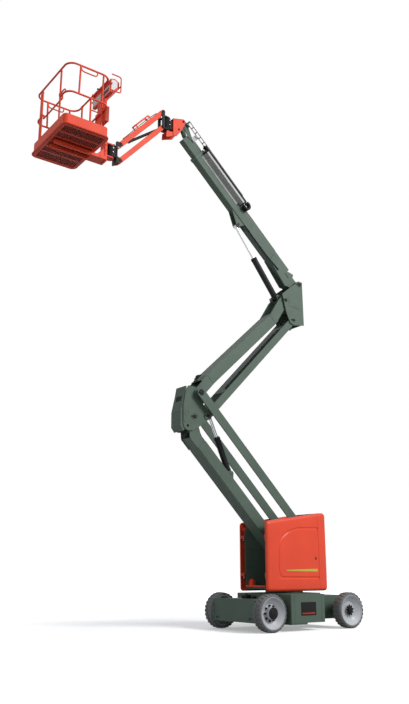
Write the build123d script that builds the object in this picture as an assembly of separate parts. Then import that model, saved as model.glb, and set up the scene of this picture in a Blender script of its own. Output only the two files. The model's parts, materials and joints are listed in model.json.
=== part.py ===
"""Self-propelled articulating boom lift with a rotating jib, as separate jointed sub-parts.

Millimetres. The frame stands on the floor at Z = 0 under the slewing axis; +X points to the drive
axle, +Y to the machine's left. Every beam is drawn flat in its own frame, with the origin at a pin
and local +X along the beam, and is then hung on its pins in the working position.
"""
from build123d import *
from math import atan2, cos, degrees, hypot, radians, sin
import os

# ---------------------------------------------------------------- driving dimensions
WHEELBASE = 1800
TRACK = 1310
TYRE_RADIUS = 300
TYRE_WIDTH = 185
RIM_RADIUS = 250

FRAME_HALF_WIDTH = 330      # waist of the chassis between the steered wheels
FRAME_BOTTOM = 150
DECK_TOP = 590              # raised deck under the slewing ring
NOSE_HALF_WIDTH = 550       # full-width nose between the drive wheels
NOSE_FRONT = 1120
KINGPIN_Y = 520
KINGPIN_X = -WHEELBASE / 2
STEER_ROD_X = KINGPIN_X - 165
STUB_RADIUS = 38            # wheel spindles
TIE_DOWN_RADIUS = 16

COVER_HALF_WIDTH = 390
COVER_FRONT = 700
COVER_REAR = -706
COVER_BOTTOM = 622
COVER_FRONT_TOP = 1783
COVER_REAR_TOP = 1983
COVER_INNER = 300          # inner edge of the covers' tops
COVER_FLANGE = 335         # inner edge of the covers' front flanges
COVER_SKIN = 13
HOOD_SEAM = -505
HINGE = (660, 300)          # vertical hinge pins of the covers, as (X, Y)
HINGE_LEVELS = (860, 1500)
TURRET_PLATE_Y = 275        # inner face of the turret's side plates
TURRET_PLATE = 16

# Pins of the working position, as (X, Z) in the boom plane.
ARM1_FOOT = (-385, 1030)
ARM1_HEAD = (2050, 3484)
LINK1_OFFSET = (-70, 412)   # from an arm 1 pin to the matching pin of the parallel link
ARM2_HEAD = (-76, 6019)
LINK2_OFFSET = (-195, -374) # from an arm 2 pin to the matching pin of the lower link
BOOM_PIVOT = (-451, 6420)
BOOM_ELEVATION = 42.5
RISER_BASE = (1205, 2590)
RISER_EYE = (1640, 3590)
LIFT_BASE = (20, 6095)
LIFT_EYE_LOCAL = (1700, -250)
LIFT_ROD_END_LOCAL = (1700, -278)   # the rod's eye hangs low in its clevis
TIP_PIN_LOCAL = (3847, 141)

# Half-widths across the boom plane, nested so that each member folds inside the next.
ARM1_HALF = 134
ARM1_CHEEK = 139
KNUCKLE_INNER = 144
KNUCKLE_OUTER = 158
LINK2_INNER = 163
LINK2_OUTER = 173
ARM2_HALF = 157
ARM2_CHEEK = 177
UPRIGHT_INNER = 182
UPRIGHT_OUTER = 196
LINK1_INNER = 237
LINK1_OUTER = 262

PIN_GAP = 1                 # radial running clearance of the big pins

BOOM_HALF_WIDTH = 75
BOOM_HALF_DEPTH = 135
BOOM_FRONT = 3215
FLY_HALF_WIDTH = 61
FLY_HALF_DEPTH = 117

JIB_ROOT_X = 2610           # vertical axis of the jib's rotary actuator
JIB_CAP_LOW = 8842
JIB_CAP_HIGH = 9118
JIB_UPPER = (2722, 9190)
JIB_LOWER = (2722, 8872)
JIB_REACH = (880, -1000)    # from a jib root pin to the matching end pin
JIB_BAR_INNER = 32          # the bars are twin tubes, so that the jib cylinder runs between them
JIB_BAR_OUTER = 58
JIB_BAR_HALF_DEPTH = 46
JIB_EAR_INNER = 64
JIB_EAR_OUTER = 78
PLATFORM_AXIS_X = 3775

FLOOR_BOTTOM = 7830
FLOOR_TOP = 7881
FLOOR_REAR = 4140
FLOOR_FRONT = 4945
FLOOR_HALF = 620
TOE_BOARD_TOP = 8035
TOP_RAIL_Z = 8985
MID_RAIL_Z = 8465
RAIL_RADIUS = 16
RAIL_REAR = 4150            # centrelines of the top rail, and of the mid rail's rear
RAIL_FRONT = 4930
RAIL_HALF = 640
MID_RAIL_FRONT = 4920
MID_RAIL_HALF = 615
POST_FRONT = 4914
POST_REAR = 4154
GATE_RIGHT = -385           # the two front posts, with the entry between them
GATE_LEFT = 340


# ---------------------------------------------------------------- helpers
def plus(point, offset):
    return (point[0] + offset[0], point[1] + offset[1])


def span(start, end):
    return hypot(end[0] - start[0], end[1] - start[1])


def bearing(start, end):
    return degrees(atan2(end[1] - start[1], end[0] - start[0]))


def hung(pin, elevation):
    """Frame of a member: origin on its pin, local +X raised by the elevation in degrees."""
    return Location((pin[0], 0, pin[1]), (0, -elevation, 0))


def extrude_y(face, y_low, y_high):
    """Thicken an X-Z outline between two lateral positions."""
    return Pos(0, y_high, 0) * extrude(Plane.XZ * face, amount=y_high - y_low)


def plate(points, y_low, y_high):
    return extrude_y(make_face(Polyline(*points, close=True)), y_low, y_high)


def wrap_plate(discs, y_low, y_high):
    """A plate whose outline wraps round discs given as (x, z, radius)."""
    edges = ShapeList()
    for x, z, radius in discs:
        edges += (Pos(x, z) * Circle(radius)).edges()
    return extrude_y(make_hull(edges), y_low, y_high)


def bar_y(x, z, radius, y_low, y_high):
    return extrude_y(Pos(x, z) * Circle(radius), y_low, y_high)


def bar_z(x, y, radius, z_low, z_high):
    return extrude(Pos(x, y, z_low) * Circle(radius), amount=z_high - z_low)


def block(x_low, x_high, y_low, y_high, z_low, z_high):
    size = (x_high - x_low, y_high - y_low, z_high - z_low)
    return Pos(x_low, y_low, z_low) * Box(*size, align=(Align.MIN, Align.MIN, Align.MIN))


def both_sides(shape):
    return shape + mirror(shape, about=Plane.XZ)


def box_beam(x_low, x_high, z_mid, half_width, half_depth, wall, corner=14):
    """A rectangular hollow section along X with rounded corners."""
    outer = RectangleRounded(2 * half_width, 2 * half_depth, corner)
    inner = RectangleRounded(2 * (half_width - wall), 2 * (half_depth - wall), corner - wall / 2)
    return Pos(x_low, 0, z_mid) * extrude(Plane.YZ * (outer - inner), amount=x_high - x_low)


def pipe(points, radius, bend):
    """Round tube stock run along straight legs with rounded bends."""
    path = FilletPolyline(*points, radius=bend)
    return sweep(Plane(path @ 0, z_dir=path % 0) * Circle(radius), path=path)


def ring_rail(x_low, x_high, half_width, z, bend):
    """A closed tubular rail with rounded corners, centred on the boom plane."""
    outer = RectangleRounded(x_high - x_low, 2 * half_width, bend)
    path = (Pos((x_low + x_high) / 2, 0, z) * outer).wire()
    start = path @ 0
    return sweep(Plane(start, z_dir=path % 0) * Circle(RAIL_RADIUS), path=path)


# ---------------------------------------------------------------- derived pins
ARM1_LENGTH = span(ARM1_FOOT, ARM1_HEAD)
ARM1_ELEVATION = bearing(ARM1_FOOT, ARM1_HEAD)
LINK1_FOOT = plus(ARM1_FOOT, LINK1_OFFSET)
ARM2_FOOT = plus(ARM1_HEAD, LINK1_OFFSET)
ARM2_LENGTH = span(ARM2_HEAD, ARM2_FOOT)
ARM2_ELEVATION = bearing(ARM2_HEAD, ARM2_FOOT)
LINK2_HEAD = plus(ARM2_HEAD, LINK2_OFFSET)
LINK2_FOOT = plus(ARM2_FOOT, LINK2_OFFSET)


def boom_point(local):
    """World position of a point given along and above the main boom's centreline."""
    lift = radians(BOOM_ELEVATION)
    along, above = local
    dx = along * cos(lift) - above * sin(lift)
    dz = along * sin(lift) + above * cos(lift)
    return (BOOM_PIVOT[0] + dx, BOOM_PIVOT[1] + dz)


TIP_PIN = boom_point(TIP_PIN_LOCAL)
LIFT_ROD_END = boom_point(LIFT_ROD_END_LOCAL)
JIB_END_UPPER = plus(JIB_UPPER, JIB_REACH)
JIB_END_LOWER = plus(JIB_LOWER, JIB_REACH)
JIB_LENGTH = hypot(*JIB_REACH)
JIB_ELEVATION = bearing((0, 0), JIB_REACH)


# ---------------------------------------------------------------- chassis
def chassis_frame():
    half = FRAME_HALF_WIDTH
    spine = block(-1000, 640, -half, half, FRAME_BOTTOM, 545)
    deck = block(-560, 640, -half, half, 540, DECK_TOP)
    nose = block(600, NOSE_FRONT, -NOSE_HALF_WIDTH, NOSE_HALF_WIDTH, FRAME_BOTTOM + 5, 505)
    front_plate = block(NOSE_FRONT, NOSE_FRONT + 20, -555, 555, 146, 515)
    tail = block(-1020, -990, -half, half, 170, 545)
    frame = spine + deck + nose + front_plate + tail
    front_lug = block(NOSE_FRONT + 10, NOSE_FRONT + 72, 412, 468, 200, 220)
    front_lug -= bar_z(NOSE_FRONT + 44, 440, TIE_DOWN_RADIUS, 190, 230)
    rear_lug = block(-1082, -1010, 222, 278, 400, 420)
    rear_lug -= bar_z(-1054, 250, TIE_DOWN_RADIUS, 390, 430)
    return frame + both_sides(front_lug + rear_lug)


def side_boxes():
    """Deep boxes slung on both sides between the axles."""
    box = block(-280, 490, FRAME_HALF_WIDTH, 720, 130, 585)
    box = fillet(box.edges().filter_by(Axis.Z).group_by(Axis.Y)[-1], 18)
    foot = block(130, 490, 400, 715, 105, 130)
    return both_sides(box + foot)


def axles():
    """Drive housings at the front, and the steered cross beam with a yoke at each end."""
    stub = bar_y(WHEELBASE / 2, TYRE_RADIUS, 95, NOSE_HALF_WIDTH, 612)
    stub += bar_y(WHEELBASE / 2, TYRE_RADIUS, STUB_RADIUS, 612, 655)
    beam = block(KINGPIN_X - 60, KINGPIN_X + 60, FRAME_HALF_WIDTH, 430, 225, 375)
    yoke = block(KINGPIN_X - 38, KINGPIN_X + 38, 430, KINGPIN_Y + 34, 385, 410)
    yoke += block(KINGPIN_X - 38, KINGPIN_X + 38, 430, KINGPIN_Y + 34, 190, 215)
    yoke += block(KINGPIN_X - 38, KINGPIN_X + 38, 430, 455, 190, 410)
    kingpin = bar_z(KINGPIN_X, KINGPIN_Y, 18, 190, 410)
    return both_sides(stub + beam + yoke + kingpin)


def steering_cylinder():
    """Through-rod steering cylinder carried on two feet behind the axle."""
    barrel = bar_y(STEER_ROD_X, 300, 38, -210, 210)
    feet = both_sides(block(STEER_ROD_X, -1020, 150, 180, 270, 330))
    return barrel + feet - bar_y(STEER_ROD_X, 300, 17 + PIN_GAP, -220, 220)


def tie_rod():
    rod = bar_y(STEER_ROD_X, 300, 17, -500, 500)
    return rod + both_sides(bar_z(STEER_ROD_X, 505, 20, 284, 316))


def steering_knuckle(side):
    """Kingpin barrel, spindle and steering arm of one steered wheel."""
    barrel = bar_z(KINGPIN_X, KINGPIN_Y, 34, 221, 379)
    spindle = bar_y(KINGPIN_X, TYRE_RADIUS, STUB_RADIUS, KINGPIN_Y, 655)
    flange = bar_y(KINGPIN_X, TYRE_RADIUS, 70, 575, 612)
    arm = block(STEER_ROD_X, KINGPIN_X, KINGPIN_Y - 14, KINGPIN_Y + 12, 328, 346)
    arm += bar_z(STEER_ROD_X, KINGPIN_Y - 2, 22, 328, 346)
    knuckle = barrel + spindle + flange + arm - bar_z(KINGPIN_X, KINGPIN_Y, 18 + PIN_GAP, 180, 420)
    return knuckle if side > 0 else mirror(knuckle, about=Plane.XZ)


def slew_ring():
    ring = Pos(0, 0, DECK_TOP) * (Cylinder(330, 64, align=(Align.CENTER, Align.CENTER, Align.MIN)))
    bore = Pos(0, 0, DECK_TOP) * (Cylinder(250, 64, align=(Align.CENTER, Align.CENTER, Align.MIN)))
    return ring - bore


# ---------------------------------------------------------------- wheels
def on_hub(profile, x, side):
    """Revolve an outline of (depth inward from the outer face, radius) into a wheel part."""
    outer_face = TRACK / 2 + TYRE_WIDTH / 2
    points = [(radius, outer_face - depth) for depth, radius in profile]
    face = Plane.XY * make_face(Polyline(*points, close=True))
    wheel = Pos(x, 0, TYRE_RADIUS) * revolve(face, axis=Axis.Y)
    return wheel if side > 0 else mirror(wheel, about=Plane.XZ)


def tyre(x, side):
    """Foam-filled tyre with a thin sidewall band and rounded shoulders."""
    profile = [
        (8, RIM_RADIUS + 0.5), (0, RIM_RADIUS + 6), (0, TYRE_RADIUS - 26), (10, TYRE_RADIUS - 8),
        (28, TYRE_RADIUS), (TYRE_WIDTH - 28, TYRE_RADIUS), (TYRE_WIDTH - 10, TYRE_RADIUS - 8),
        (TYRE_WIDTH, TYRE_RADIUS - 26), (TYRE_WIDTH, RIM_RADIUS + 6), (TYRE_WIDTH - 8, RIM_RADIUS + 0.5),
    ]
    return on_hub(profile, x, side)


def wheel(x, side, dish, cap_depth, cap_radius):
    """Deep-dished steel rim on its hub, bored from behind for the spindle."""
    bore = STUB_RADIUS + PIN_GAP
    profile = [
        (2, RIM_RADIUS), (TYRE_WIDTH - 2, RIM_RADIUS), (TYRE_WIDTH - 2, RIM_RADIUS - 12),
        (dish + 26, RIM_RADIUS - 12), (dish + 14, 150), (dish + 14, 72), (130, 72), (130, bore),
        (90, bore), (90, 0), (cap_depth, 0), (cap_depth, cap_radius - 6), (cap_depth + 6, cap_radius),
        (dish, cap_radius), (dish, 146), (dish - 30, 190), (14, RIM_RADIUS - 14), (2, RIM_RADIUS - 9),
    ]
    return on_hub(profile, x, side)


# ---------------------------------------------------------------- turret
def turret_frame():
    """Base plate, tall side plates and the fixed pins of arm 1 and its links."""
    y_low, y_high = TURRET_PLATE_Y, TURRET_PLATE_Y + TURRET_PLATE
    outline = [
        (-615, 690), (620, 690), (640, 1000), (640, 1640), (600, 1700), (-520, 1850), (-590, 1800),
        (-615, 1500),
    ]
    sides = both_sides(plate(outline, y_low, y_high))
    base = block(-615, 620, -y_high, y_high, 660, 690)
    foot_pin = bar_y(*ARM1_FOOT, 35, -y_low - 6, y_low + 6)
    link_pin = bar_y(*LINK1_FOOT, 30, -y_low - 6, y_low + 6)
    hinges = ShapeList()
    for level in HINGE_LEVELS:
        hinges.append(block(630, HINGE[0] + 12, y_low, HINGE[1] + 14, level - 14, level - 2))
        hinges.append(bar_z(*HINGE, 8, level - 14, level + 66))
    return sides + base + foot_pin + link_pin + both_sides(sum(hinges[1:], hinges[0]))


def counterweight():
    return block(-590, -552, -272, 272, 692, 1330) + block(-552, -500, -272, 272, 692, 900)


def side_packs():
    """Battery and hydraulic packs, one plain block each side behind the covers."""
    return both_sides(block(-480, 540, 294, 366, 720, 1420))


def cover_top(x):
    """Height of the covers' sloping top edge at a station along the machine."""
    part = (COVER_FRONT - x) / (COVER_FRONT - COVER_REAR)
    return COVER_FRONT_TOP + part * (COVER_REAR_TOP - COVER_FRONT_TOP)


def cover_shell(x_front, x_rear, y_inner):
    """A moulded side cover: sloping top, rounded outer edges, open towards the machine."""
    outline = Polyline(
        (x_rear, COVER_BOTTOM), (x_front, COVER_BOTTOM), (x_front, cover_top(x_front)),
        (x_rear, cover_top(x_rear)), close=True,
    )
    return extrude_y(make_face(outline), y_inner, COVER_HALF_WIDTH)


def pressed_groove():
    """The shallow D-shaped groove that frames the covers' middle panel and runs round the hood."""
    width, depth = 18, 8
    outline = FilletPolyline(
        (-760, 1713), (0, 1701), (300, 1612), (445, 1455), (475, 974), (425, 826), (-760, 821),
        radius=60, close=True,
    )
    panel = make_face(outline)
    ring = panel - offset(panel, amount=-width)
    return extrude_y(ring, COVER_HALF_WIDTH - depth, COVER_HALF_WIDTH + 5)


def side_cover(side):
    """Hinged cover with a pressed groove on its face and two hinge eyes at its front."""
    shell = cover_shell(COVER_FRONT, HOOD_SEAM + 3, COVER_INNER)
    front_edge = shell.edges().filter_by(Axis.Z).sort_by(Axis.X)[-2:].sort_by(Axis.Y)[-1:]
    shell = fillet(front_edge, 50)
    outer_face = shell.faces().sort_by(Axis.Y)[-1]
    shell = fillet(outer_face.edges().sort_by(Axis.Z)[-1:], 46)
    inner_top = cover_top(COVER_FRONT) - 52
    inside = COVER_HALF_WIDTH - COVER_SKIN
    shell -= block(HOOD_SEAM + 12, COVER_FRONT - 19, COVER_INNER - 10, inside, 600, inner_top)
    shell -= block(COVER_FRONT - 30, COVER_FRONT + 5, COVER_INNER - 10, COVER_FLANGE, 600, inner_top)
    shell -= pressed_groove()
    for level in HINGE_LEVELS:
        arm = block(HINGE[0], COVER_FRONT - 14, HINGE[1], COVER_FLANGE + 12, level + 12, level + 58)
        shell += arm + bar_z(*HINGE, 15, level, level + 70)
        shell -= bar_z(*HINGE, 8 + PIN_GAP, level - 5, level + 75)
    return shell if side > 0 else mirror(shell, about=Plane.XZ)


def rear_hood():
    """Fixed moulding across the back of the turret, with rounded vertical corners."""
    half = COVER_HALF_WIDTH
    hood = cover_shell(HOOD_SEAM, COVER_REAR, -half)
    corners = hood.edges().filter_by(Axis.Z).sort_by(Axis.X)[:2]
    hood = fillet(corners, 60)
    rear_top = hood.faces().sort_by(Axis.Z)[-1].edges().sort_by(Axis.X)[:1]
    hood = fillet(rear_top, 40)
    groove = both_sides(pressed_groove())
    hood -= block(COVER_REAR + 16, HOOD_SEAM + 1, -half + COVER_SKIN, half - COVER_SKIN, 600, 1900)
    return hood - groove - block(COVER_REAR + 60, HOOD_SEAM + 1, -298, 298, 600, 2000)


def front_sill():
    """Sill across the turret's mouth, with the small valve housing behind it."""
    sill = block(600, 655, -262, 262, 692, 720)
    return sill + block(520, 640, -262, -150, 720, 870)


# ---------------------------------------------------------------- riser
def arm1():
    """Lower riser arm: box section hung below its pins by cheek plates."""
    length = ARM1_LENGTH
    beam = box_beam(150, length - 210, -202, ARM1_HALF, 102, 8)
    foot_discs = [(0, 0, 80), (430, -106, 10), (430, -299, 10), (140, -299, 10)]
    head_discs = [(length, 0, 78), (length - 176, -52, 12), (length - 200, -296, 12), (length - 85, -170, 30)]
    step = [
        (length - 430, -137), (length - 272, -100), (length - 160, -40), (length - 160, -260),
        (length - 215, -316), (length - 430, -316),
    ]
    foot = both_sides(wrap_plate(foot_discs, ARM1_HALF - 14, ARM1_CHEEK))
    cheek = wrap_plate(head_discs, ARM1_HALF - 14, ARM1_CHEEK)
    head = both_sides(cheek + plate(step, ARM1_HALF - 14, ARM1_CHEEK))
    hubs = bar_y(0, 0, 58, -ARM1_CHEEK, ARM1_CHEEK) + bar_y(length, 0, 58, -ARM1_CHEEK, ARM1_CHEEK)
    base = local_of(RISER_BASE, ARM1_FOOT, ARM1_ELEVATION)
    lug_discs = [(*base, 42), (base[0] - 110, -103, 7), (base[0] + 110, -103, 7)]
    lugs = both_sides(wrap_plate(lug_discs, 62, 78))
    arm = beam + foot + head + hubs + lugs + bar_y(*base, 22, -84, 84)
    arm -= bar_y(0, 0, 35 + PIN_GAP, -200, 200)
    arm -= bar_y(length, 0, 35 + PIN_GAP, -200, 200)
    return hung(ARM1_FOOT, ARM1_ELEVATION) * arm


def local_of(point, origin, elevation):
    """Position of a point in a member's own frame."""
    lift = radians(elevation)
    dx, dz = point[0] - origin[0], point[1] - origin[1]
    return (dx * cos(lift) + dz * sin(lift), dz * cos(lift) - dx * sin(lift))


def stage1_links():
    """Two parallel flat links outside the lower arm."""
    length = ARM1_LENGTH
    link = wrap_plate([(0, 0, 80), (length, 0, 80)], LINK1_INNER, LINK1_OUTER)
    link -= bar_y(0, 0, 30 + PIN_GAP, 200, 300)
    link -= bar_y(length, 0, 30 + PIN_GAP, 200, 300)
    return hung(LINK1_FOOT, ARM1_ELEVATION) * both_sides(link)


def mid_knuckle():
    """Level knuckle that joins the two riser stages."""
    a1x, a1z = ARM1_HEAD
    outline = [
        (a1x + 235, a1z - 130), (a1x + 218, a1z - 195), (a1x + 180, a1z - 232), (a1x + 127, a1z - 252),
        (a1x + 40, a1z - 240), (a1x - 90, a1z - 170),
        (a1x - 240, a1z - 50), (a1x - 325, a1z + 5), (a1x - 325, a1z + 70), (a1x - 180, a1z + 230),
        (a1x - 165, a1z + 420), (a1x - 100, a1z + 490), (a1x + 30, a1z + 525), (a1x + 130, a1z + 525),
        (a1x + 181, a1z + 450), (a1x + 235, a1z + 190),
    ]
    sides = both_sides(plate(outline, KNUCKLE_INNER, KNUCKLE_OUTER))
    nose = plate(
        [(a1x + 196, a1z - 222), (a1x + 217, a1z - 262), (a1x + 280, a1z - 184), (a1x + 280, a1z + 76),
         (a1x + 213, a1z + 355), (a1x + 181, a1z + 517), (a1x + 160, a1z + 505), (a1x + 190, a1z + 350),
         (a1x + 222, a1z + 76), (a1x + 222, a1z - 170)],
        -KNUCKLE_INNER, KNUCKLE_INNER,
    )
    arm1_pin = bar_y(*ARM1_HEAD, 35, -KNUCKLE_OUTER - 8, KNUCKLE_OUTER + 8)
    arm2_pin = bar_y(*ARM2_FOOT, 30, -LINK1_OUTER - 12, LINK1_OUTER + 12)
    link2_pin = bar_y(*LINK2_FOOT, 26, -LINK2_OUTER - 8, LINK2_OUTER + 8)
    spacer = bar_y(*LINK2_FOOT, 42, -KNUCKLE_INNER, KNUCKLE_INNER)
    rod_lugs = both_sides(wrap_plate([(*RISER_EYE, 38), (*LINK2_FOOT, 42)], 40, 56))
    rod_pin = both_sides(bar_y(*RISER_EYE, 21, 40, 62))
    return sides + nose + arm1_pin + arm2_pin + link2_pin + spacer + rod_lugs + rod_pin


def arm2():
    """Upper riser arm, drawn from its head pin at the upright to its foot at the knuckle."""
    length = ARM2_LENGTH
    drop, lean = -118, 2.9
    beam = Pos(0, 0, drop) * Rot(0, -lean, 0) * box_beam(440, 2740, 0, ARM2_HALF, 103, 8)
    head_discs = [(0, 0, 92), (95, 15, 80), (540, 2, 6), (520, -185, 6), (300, -110, 6)]
    head = both_sides(wrap_plate(head_discs, 125, ARM2_HALF))
    foot_discs = [(length, 0, 92), (2590, 105, 8), (2590, -80, 8)]
    foot = wrap_plate(foot_discs, 150, ARM2_CHEEK) - block(2745, length + 120, 100, 164, -200, 200)
    pad = block(2555, 2725, -60, 60, 116, 150)
    arm = beam + head + both_sides(foot) + pad
    arm -= bar_y(0, 0, 36 + PIN_GAP, -250, 250)
    arm -= bar_y(length, 0, 30 + PIN_GAP, -250, 250)
    return hung(ARM2_HEAD, ARM2_ELEVATION) * arm


def stage2_link():
    """Inverted channel parallel to the upper arm, open near the knuckle."""
    length = ARM2_LENGTH
    flange = wrap_plate([(0, 0, 68), (length, 0, 68)], LINK2_INNER, LINK2_OUTER)
    web = block(260, length - 600, -LINK2_INNER - 2, LINK2_INNER + 2, 58, 67)
    link = both_sides(flange) + web
    link -= bar_y(0, 0, 28 + PIN_GAP, -250, 250)
    link -= bar_y(length, 0, 26 + PIN_GAP, -250, 250)
    return hung(LINK2_HEAD, ARM2_ELEVATION) * link


def upright():
    """Level upright at the top of the riser that carries the main boom."""
    x0, z0 = ARM2_HEAD
    outline = [
        (x0 + 85, z0 + 113), (x0 - 158, z0 + 312), (x0 - 323, z0 + 434), (x0 - 445, z0 + 461),
        (x0 - 456, z0 - 439), (x0 - 204, z0 - 476), (x0 - 101, z0 - 445), (x0 - 5, z0 - 238),
    ]
    sides = both_sides(plate(outline, UPRIGHT_INNER, UPRIGHT_OUTER))
    back = block(x0 - 456, x0 - 442, -UPRIGHT_INNER, UPRIGHT_INNER, z0 - 420, z0 + 240)
    web = block(x0 - 240, x0 - 226, -UPRIGHT_INNER, UPRIGHT_INNER, z0 - 160, z0 + 60)
    head_pin = bar_y(*ARM2_HEAD, 36, -UPRIGHT_OUTER - 8, UPRIGHT_OUTER + 8)
    link_pin = bar_y(*LINK2_HEAD, 28, -UPRIGHT_OUTER - 8, UPRIGHT_OUTER + 8)
    boom_pin = bar_y(*BOOM_PIVOT, 38, -UPRIGHT_OUTER - 10, UPRIGHT_OUTER + 10)
    lug_discs = [(*LIFT_BASE, 42), (x0, z0, 60), (x0 - 232, z0 + 20, 36)]
    lugs = both_sides(wrap_plate(lug_discs, 66, 84))
    base_pin = bar_y(*LIFT_BASE, 26, -92, 92)
    return sides + back + web + head_pin + link_pin + boom_pin + lugs + base_pin


# ---------------------------------------------------------------- hydraulic cylinders
def cylinder_barrel(base, eye, length, radius, bore, eye_radius, eye_half):
    """Barrel hinged at its base eye, bored so that the rod slides inside it."""
    body = Rot(0, 90, 0) * Cylinder(radius, length - 25, align=(Align.CENTER, Align.CENTER, Align.MIN))
    barrel = Pos(25, 0, 0) * body + bar_y(0, 0, eye_radius, -eye_half, eye_half)
    depth = length - 75
    hole = Rot(0, 90, 0) * Cylinder(bore, depth + 5, align=(Align.CENTER, Align.CENTER, Align.MIN))
    barrel -= Pos(75, 0, 0) * hole
    return hung(base, bearing(base, eye)) * barrel


def cylinder_rod(base, eye, length, radius, eye_radius, eye_half):
    reach = span(base, eye)
    body = Rot(0, 90, 0) * Cylinder(radius, length, align=(Align.CENTER, Align.CENTER, Align.MIN))
    rod = Pos(reach - length, 0, 0) * body + bar_y(reach, 0, eye_radius, -eye_half, eye_half)
    return hung(base, bearing(base, eye)) * rod


def riser_barrel():
    barrel = cylinder_barrel(RISER_BASE, RISER_EYE, 660, 54, 30, 48, 56)
    return barrel - bar_y(*RISER_BASE, 22 + PIN_GAP, -90, 90)


def riser_rod():
    return cylinder_rod(RISER_BASE, RISER_EYE, 690, 29, 38, 36)


def lift_barrel():
    barrel = cylinder_barrel(LIFT_BASE, LIFT_ROD_END, 880, 58, 29, 46, 60)
    return barrel - bar_y(*LIFT_BASE, 26 + PIN_GAP, -120, 120)


def lift_rod():
    return cylinder_rod(LIFT_BASE, LIFT_ROD_END, 1100, 28, 29, 40)


# ---------------------------------------------------------------- telescopic main boom
def boom_base():
    """Outer boom section with a deep heel, a front collar and the lift-cylinder bracket."""
    half_w, half_d = BOOM_HALF_WIDTH, BOOM_HALF_DEPTH
    tube = box_beam(330, BOOM_FRONT, 0, half_w, half_d, 6)
    collar = box_beam(BOOM_FRONT - 70, BOOM_FRONT, 0, half_w + 10, half_d + 10, 16)
    heel_discs = [(0, 0, 72), (190, -198, 30), (460, -146, 10), (770, -128, 10), (770, 40, 10), (400, 42, 10)]
    stop_discs = [(203, 110, 18), (165, 20, 10), (330, 20, 10), (300, 70, 10)]
    heel_side = wrap_plate(heel_discs, half_w - 8, half_w + 10) + wrap_plate(stop_discs, half_w - 8, half_w + 10)
    heel = both_sides(heel_side)
    hub = bar_y(0, 0, 68, -UPRIGHT_INNER + 6, UPRIGHT_INNER - 6)
    eye_x, eye_z = LIFT_EYE_LOCAL
    lug_discs = [(eye_x, eye_z, 42), (eye_x - 90, -129, 6), (eye_x + 310, -129, 6)]
    lugs = both_sides(wrap_plate(lug_discs, 44, 62))
    boom = tube + collar + heel + hub + lugs + both_sides(bar_y(eye_x, eye_z, 24, 44, 70))
    boom -= bar_y(0, 0, 38 + PIN_GAP, -250, 250)
    boom -= block(eye_x - 200, eye_x + 90, -44, 44, -half_d - 5, -half_d + 8)
    return hung(BOOM_PIVOT, BOOM_ELEVATION) * boom


def boom_fly():
    """Inner boom section with two ears at its top for the tip pin."""
    tube = box_beam(640, 3600, 0, FLY_HALF_WIDTH, FLY_HALF_DEPTH, 6)
    ear_discs = [(*TIP_PIN_LOCAL, 46), (3790, 196, 20), (3540, 92, 12), (3540, 40, 12)]
    ears = both_sides(wrap_plate(ear_discs, FLY_HALF_WIDTH - 6, FLY_HALF_WIDTH + 10))
    return hung(BOOM_PIVOT, BOOM_ELEVATION) * (tube + ears - bar_y(*TIP_PIN_LOCAL, 24 + PIN_GAP, -99, 99))


def cable_tray():
    """Folded tray with a deep back plate, on the boom's left flank, that the cable chain lies in."""
    y_plate = BOOM_HALF_WIDTH + 6
    back_discs = [(2034, 34, 30), (2034, 62, 30), (3122, 14, 8), (3122, 84, 8)]
    back = wrap_plate(back_discs, BOOM_HALF_WIDTH, y_plate)
    tray = block(1952, 3130, BOOM_HALF_WIDTH, 180, 86, 91) + block(1952, 3130, 176, 180, 86, 132)
    return hung(BOOM_PIVOT, BOOM_ELEVATION) * (back + tray)


def cable_chain():
    """Cable carrier: two runs stacked in the tray, joined by a loop at the rear."""
    y_low, y_high = BOOM_HALF_WIDTH + 12, 172
    runs = block(1890, 3200, y_low, y_high, 91, 133) + block(1890, 3290, y_low, y_high, 151, 192)
    loop = bar_y(1858, 141, 88, y_low, y_high) - bar_y(1858, 141, 48, y_low - 5, y_high + 5)
    gap = block(1858, 2000, y_low - 5, y_high + 5, 133, 151)
    return hung(BOOM_PIVOT, BOOM_ELEVATION) * (runs + loop - gap)


def cable_rail():
    """Ladder rail lying over the cable chain, on a foot fixed to the fly section near its tip."""
    x_rear, x_tip, n_low, n_high = 2060, 3790, 198, 213
    rail = block(x_rear, x_tip, 84, 172, n_low, n_high)
    for index in range(15):
        x = x_rear + 20 + 113 * index
        rail -= block(x, x + 93, 98, 158, n_low - 5, n_high + 5)
    foot = block(3430, 3520, FLY_HALF_WIDTH, 90, 60, 72) + block(3430, 3520, 84, 90, 60, n_high)
    return hung(BOOM_PIVOT, BOOM_ELEVATION) * (rail + foot)


# ---------------------------------------------------------------- jib
def jib_base():
    """Levelled bracket that straddles the boom tip and carries the jib's rotary actuator."""
    tx, tz = TIP_PIN
    rear_discs = [(tx, tz, 50), (tx + 52, tz - 205, 12), (tx + 145, tz - 333, 12), (tx + 213, tz - 360, 12),
                  (tx + 213, tz - 19, 12)]
    chin_discs = [(tx + 145, tz - 333, 12), (tx + 213, tz - 310, 12), (tx + 350, tz - 318, 12),
                  (tx + 358, tz - 424, 12)]
    side = both_sides(wrap_plate(rear_discs, 78, 92) + wrap_plate(chin_discs, 66, 80))
    front = block(tx + 211, tx + 225, -92, 92, tz - 330, tz - 8)
    chin = block(tx + 211, tx + 355, -80, 80, tz - 330, tz - 318)
    tip_pin = bar_y(tx, tz, 24, -98, 98)
    level_pin = bar_y(tx + 100, tz - 203, 20, -98, 98)
    return side + front + chin + tip_pin + level_pin


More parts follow.
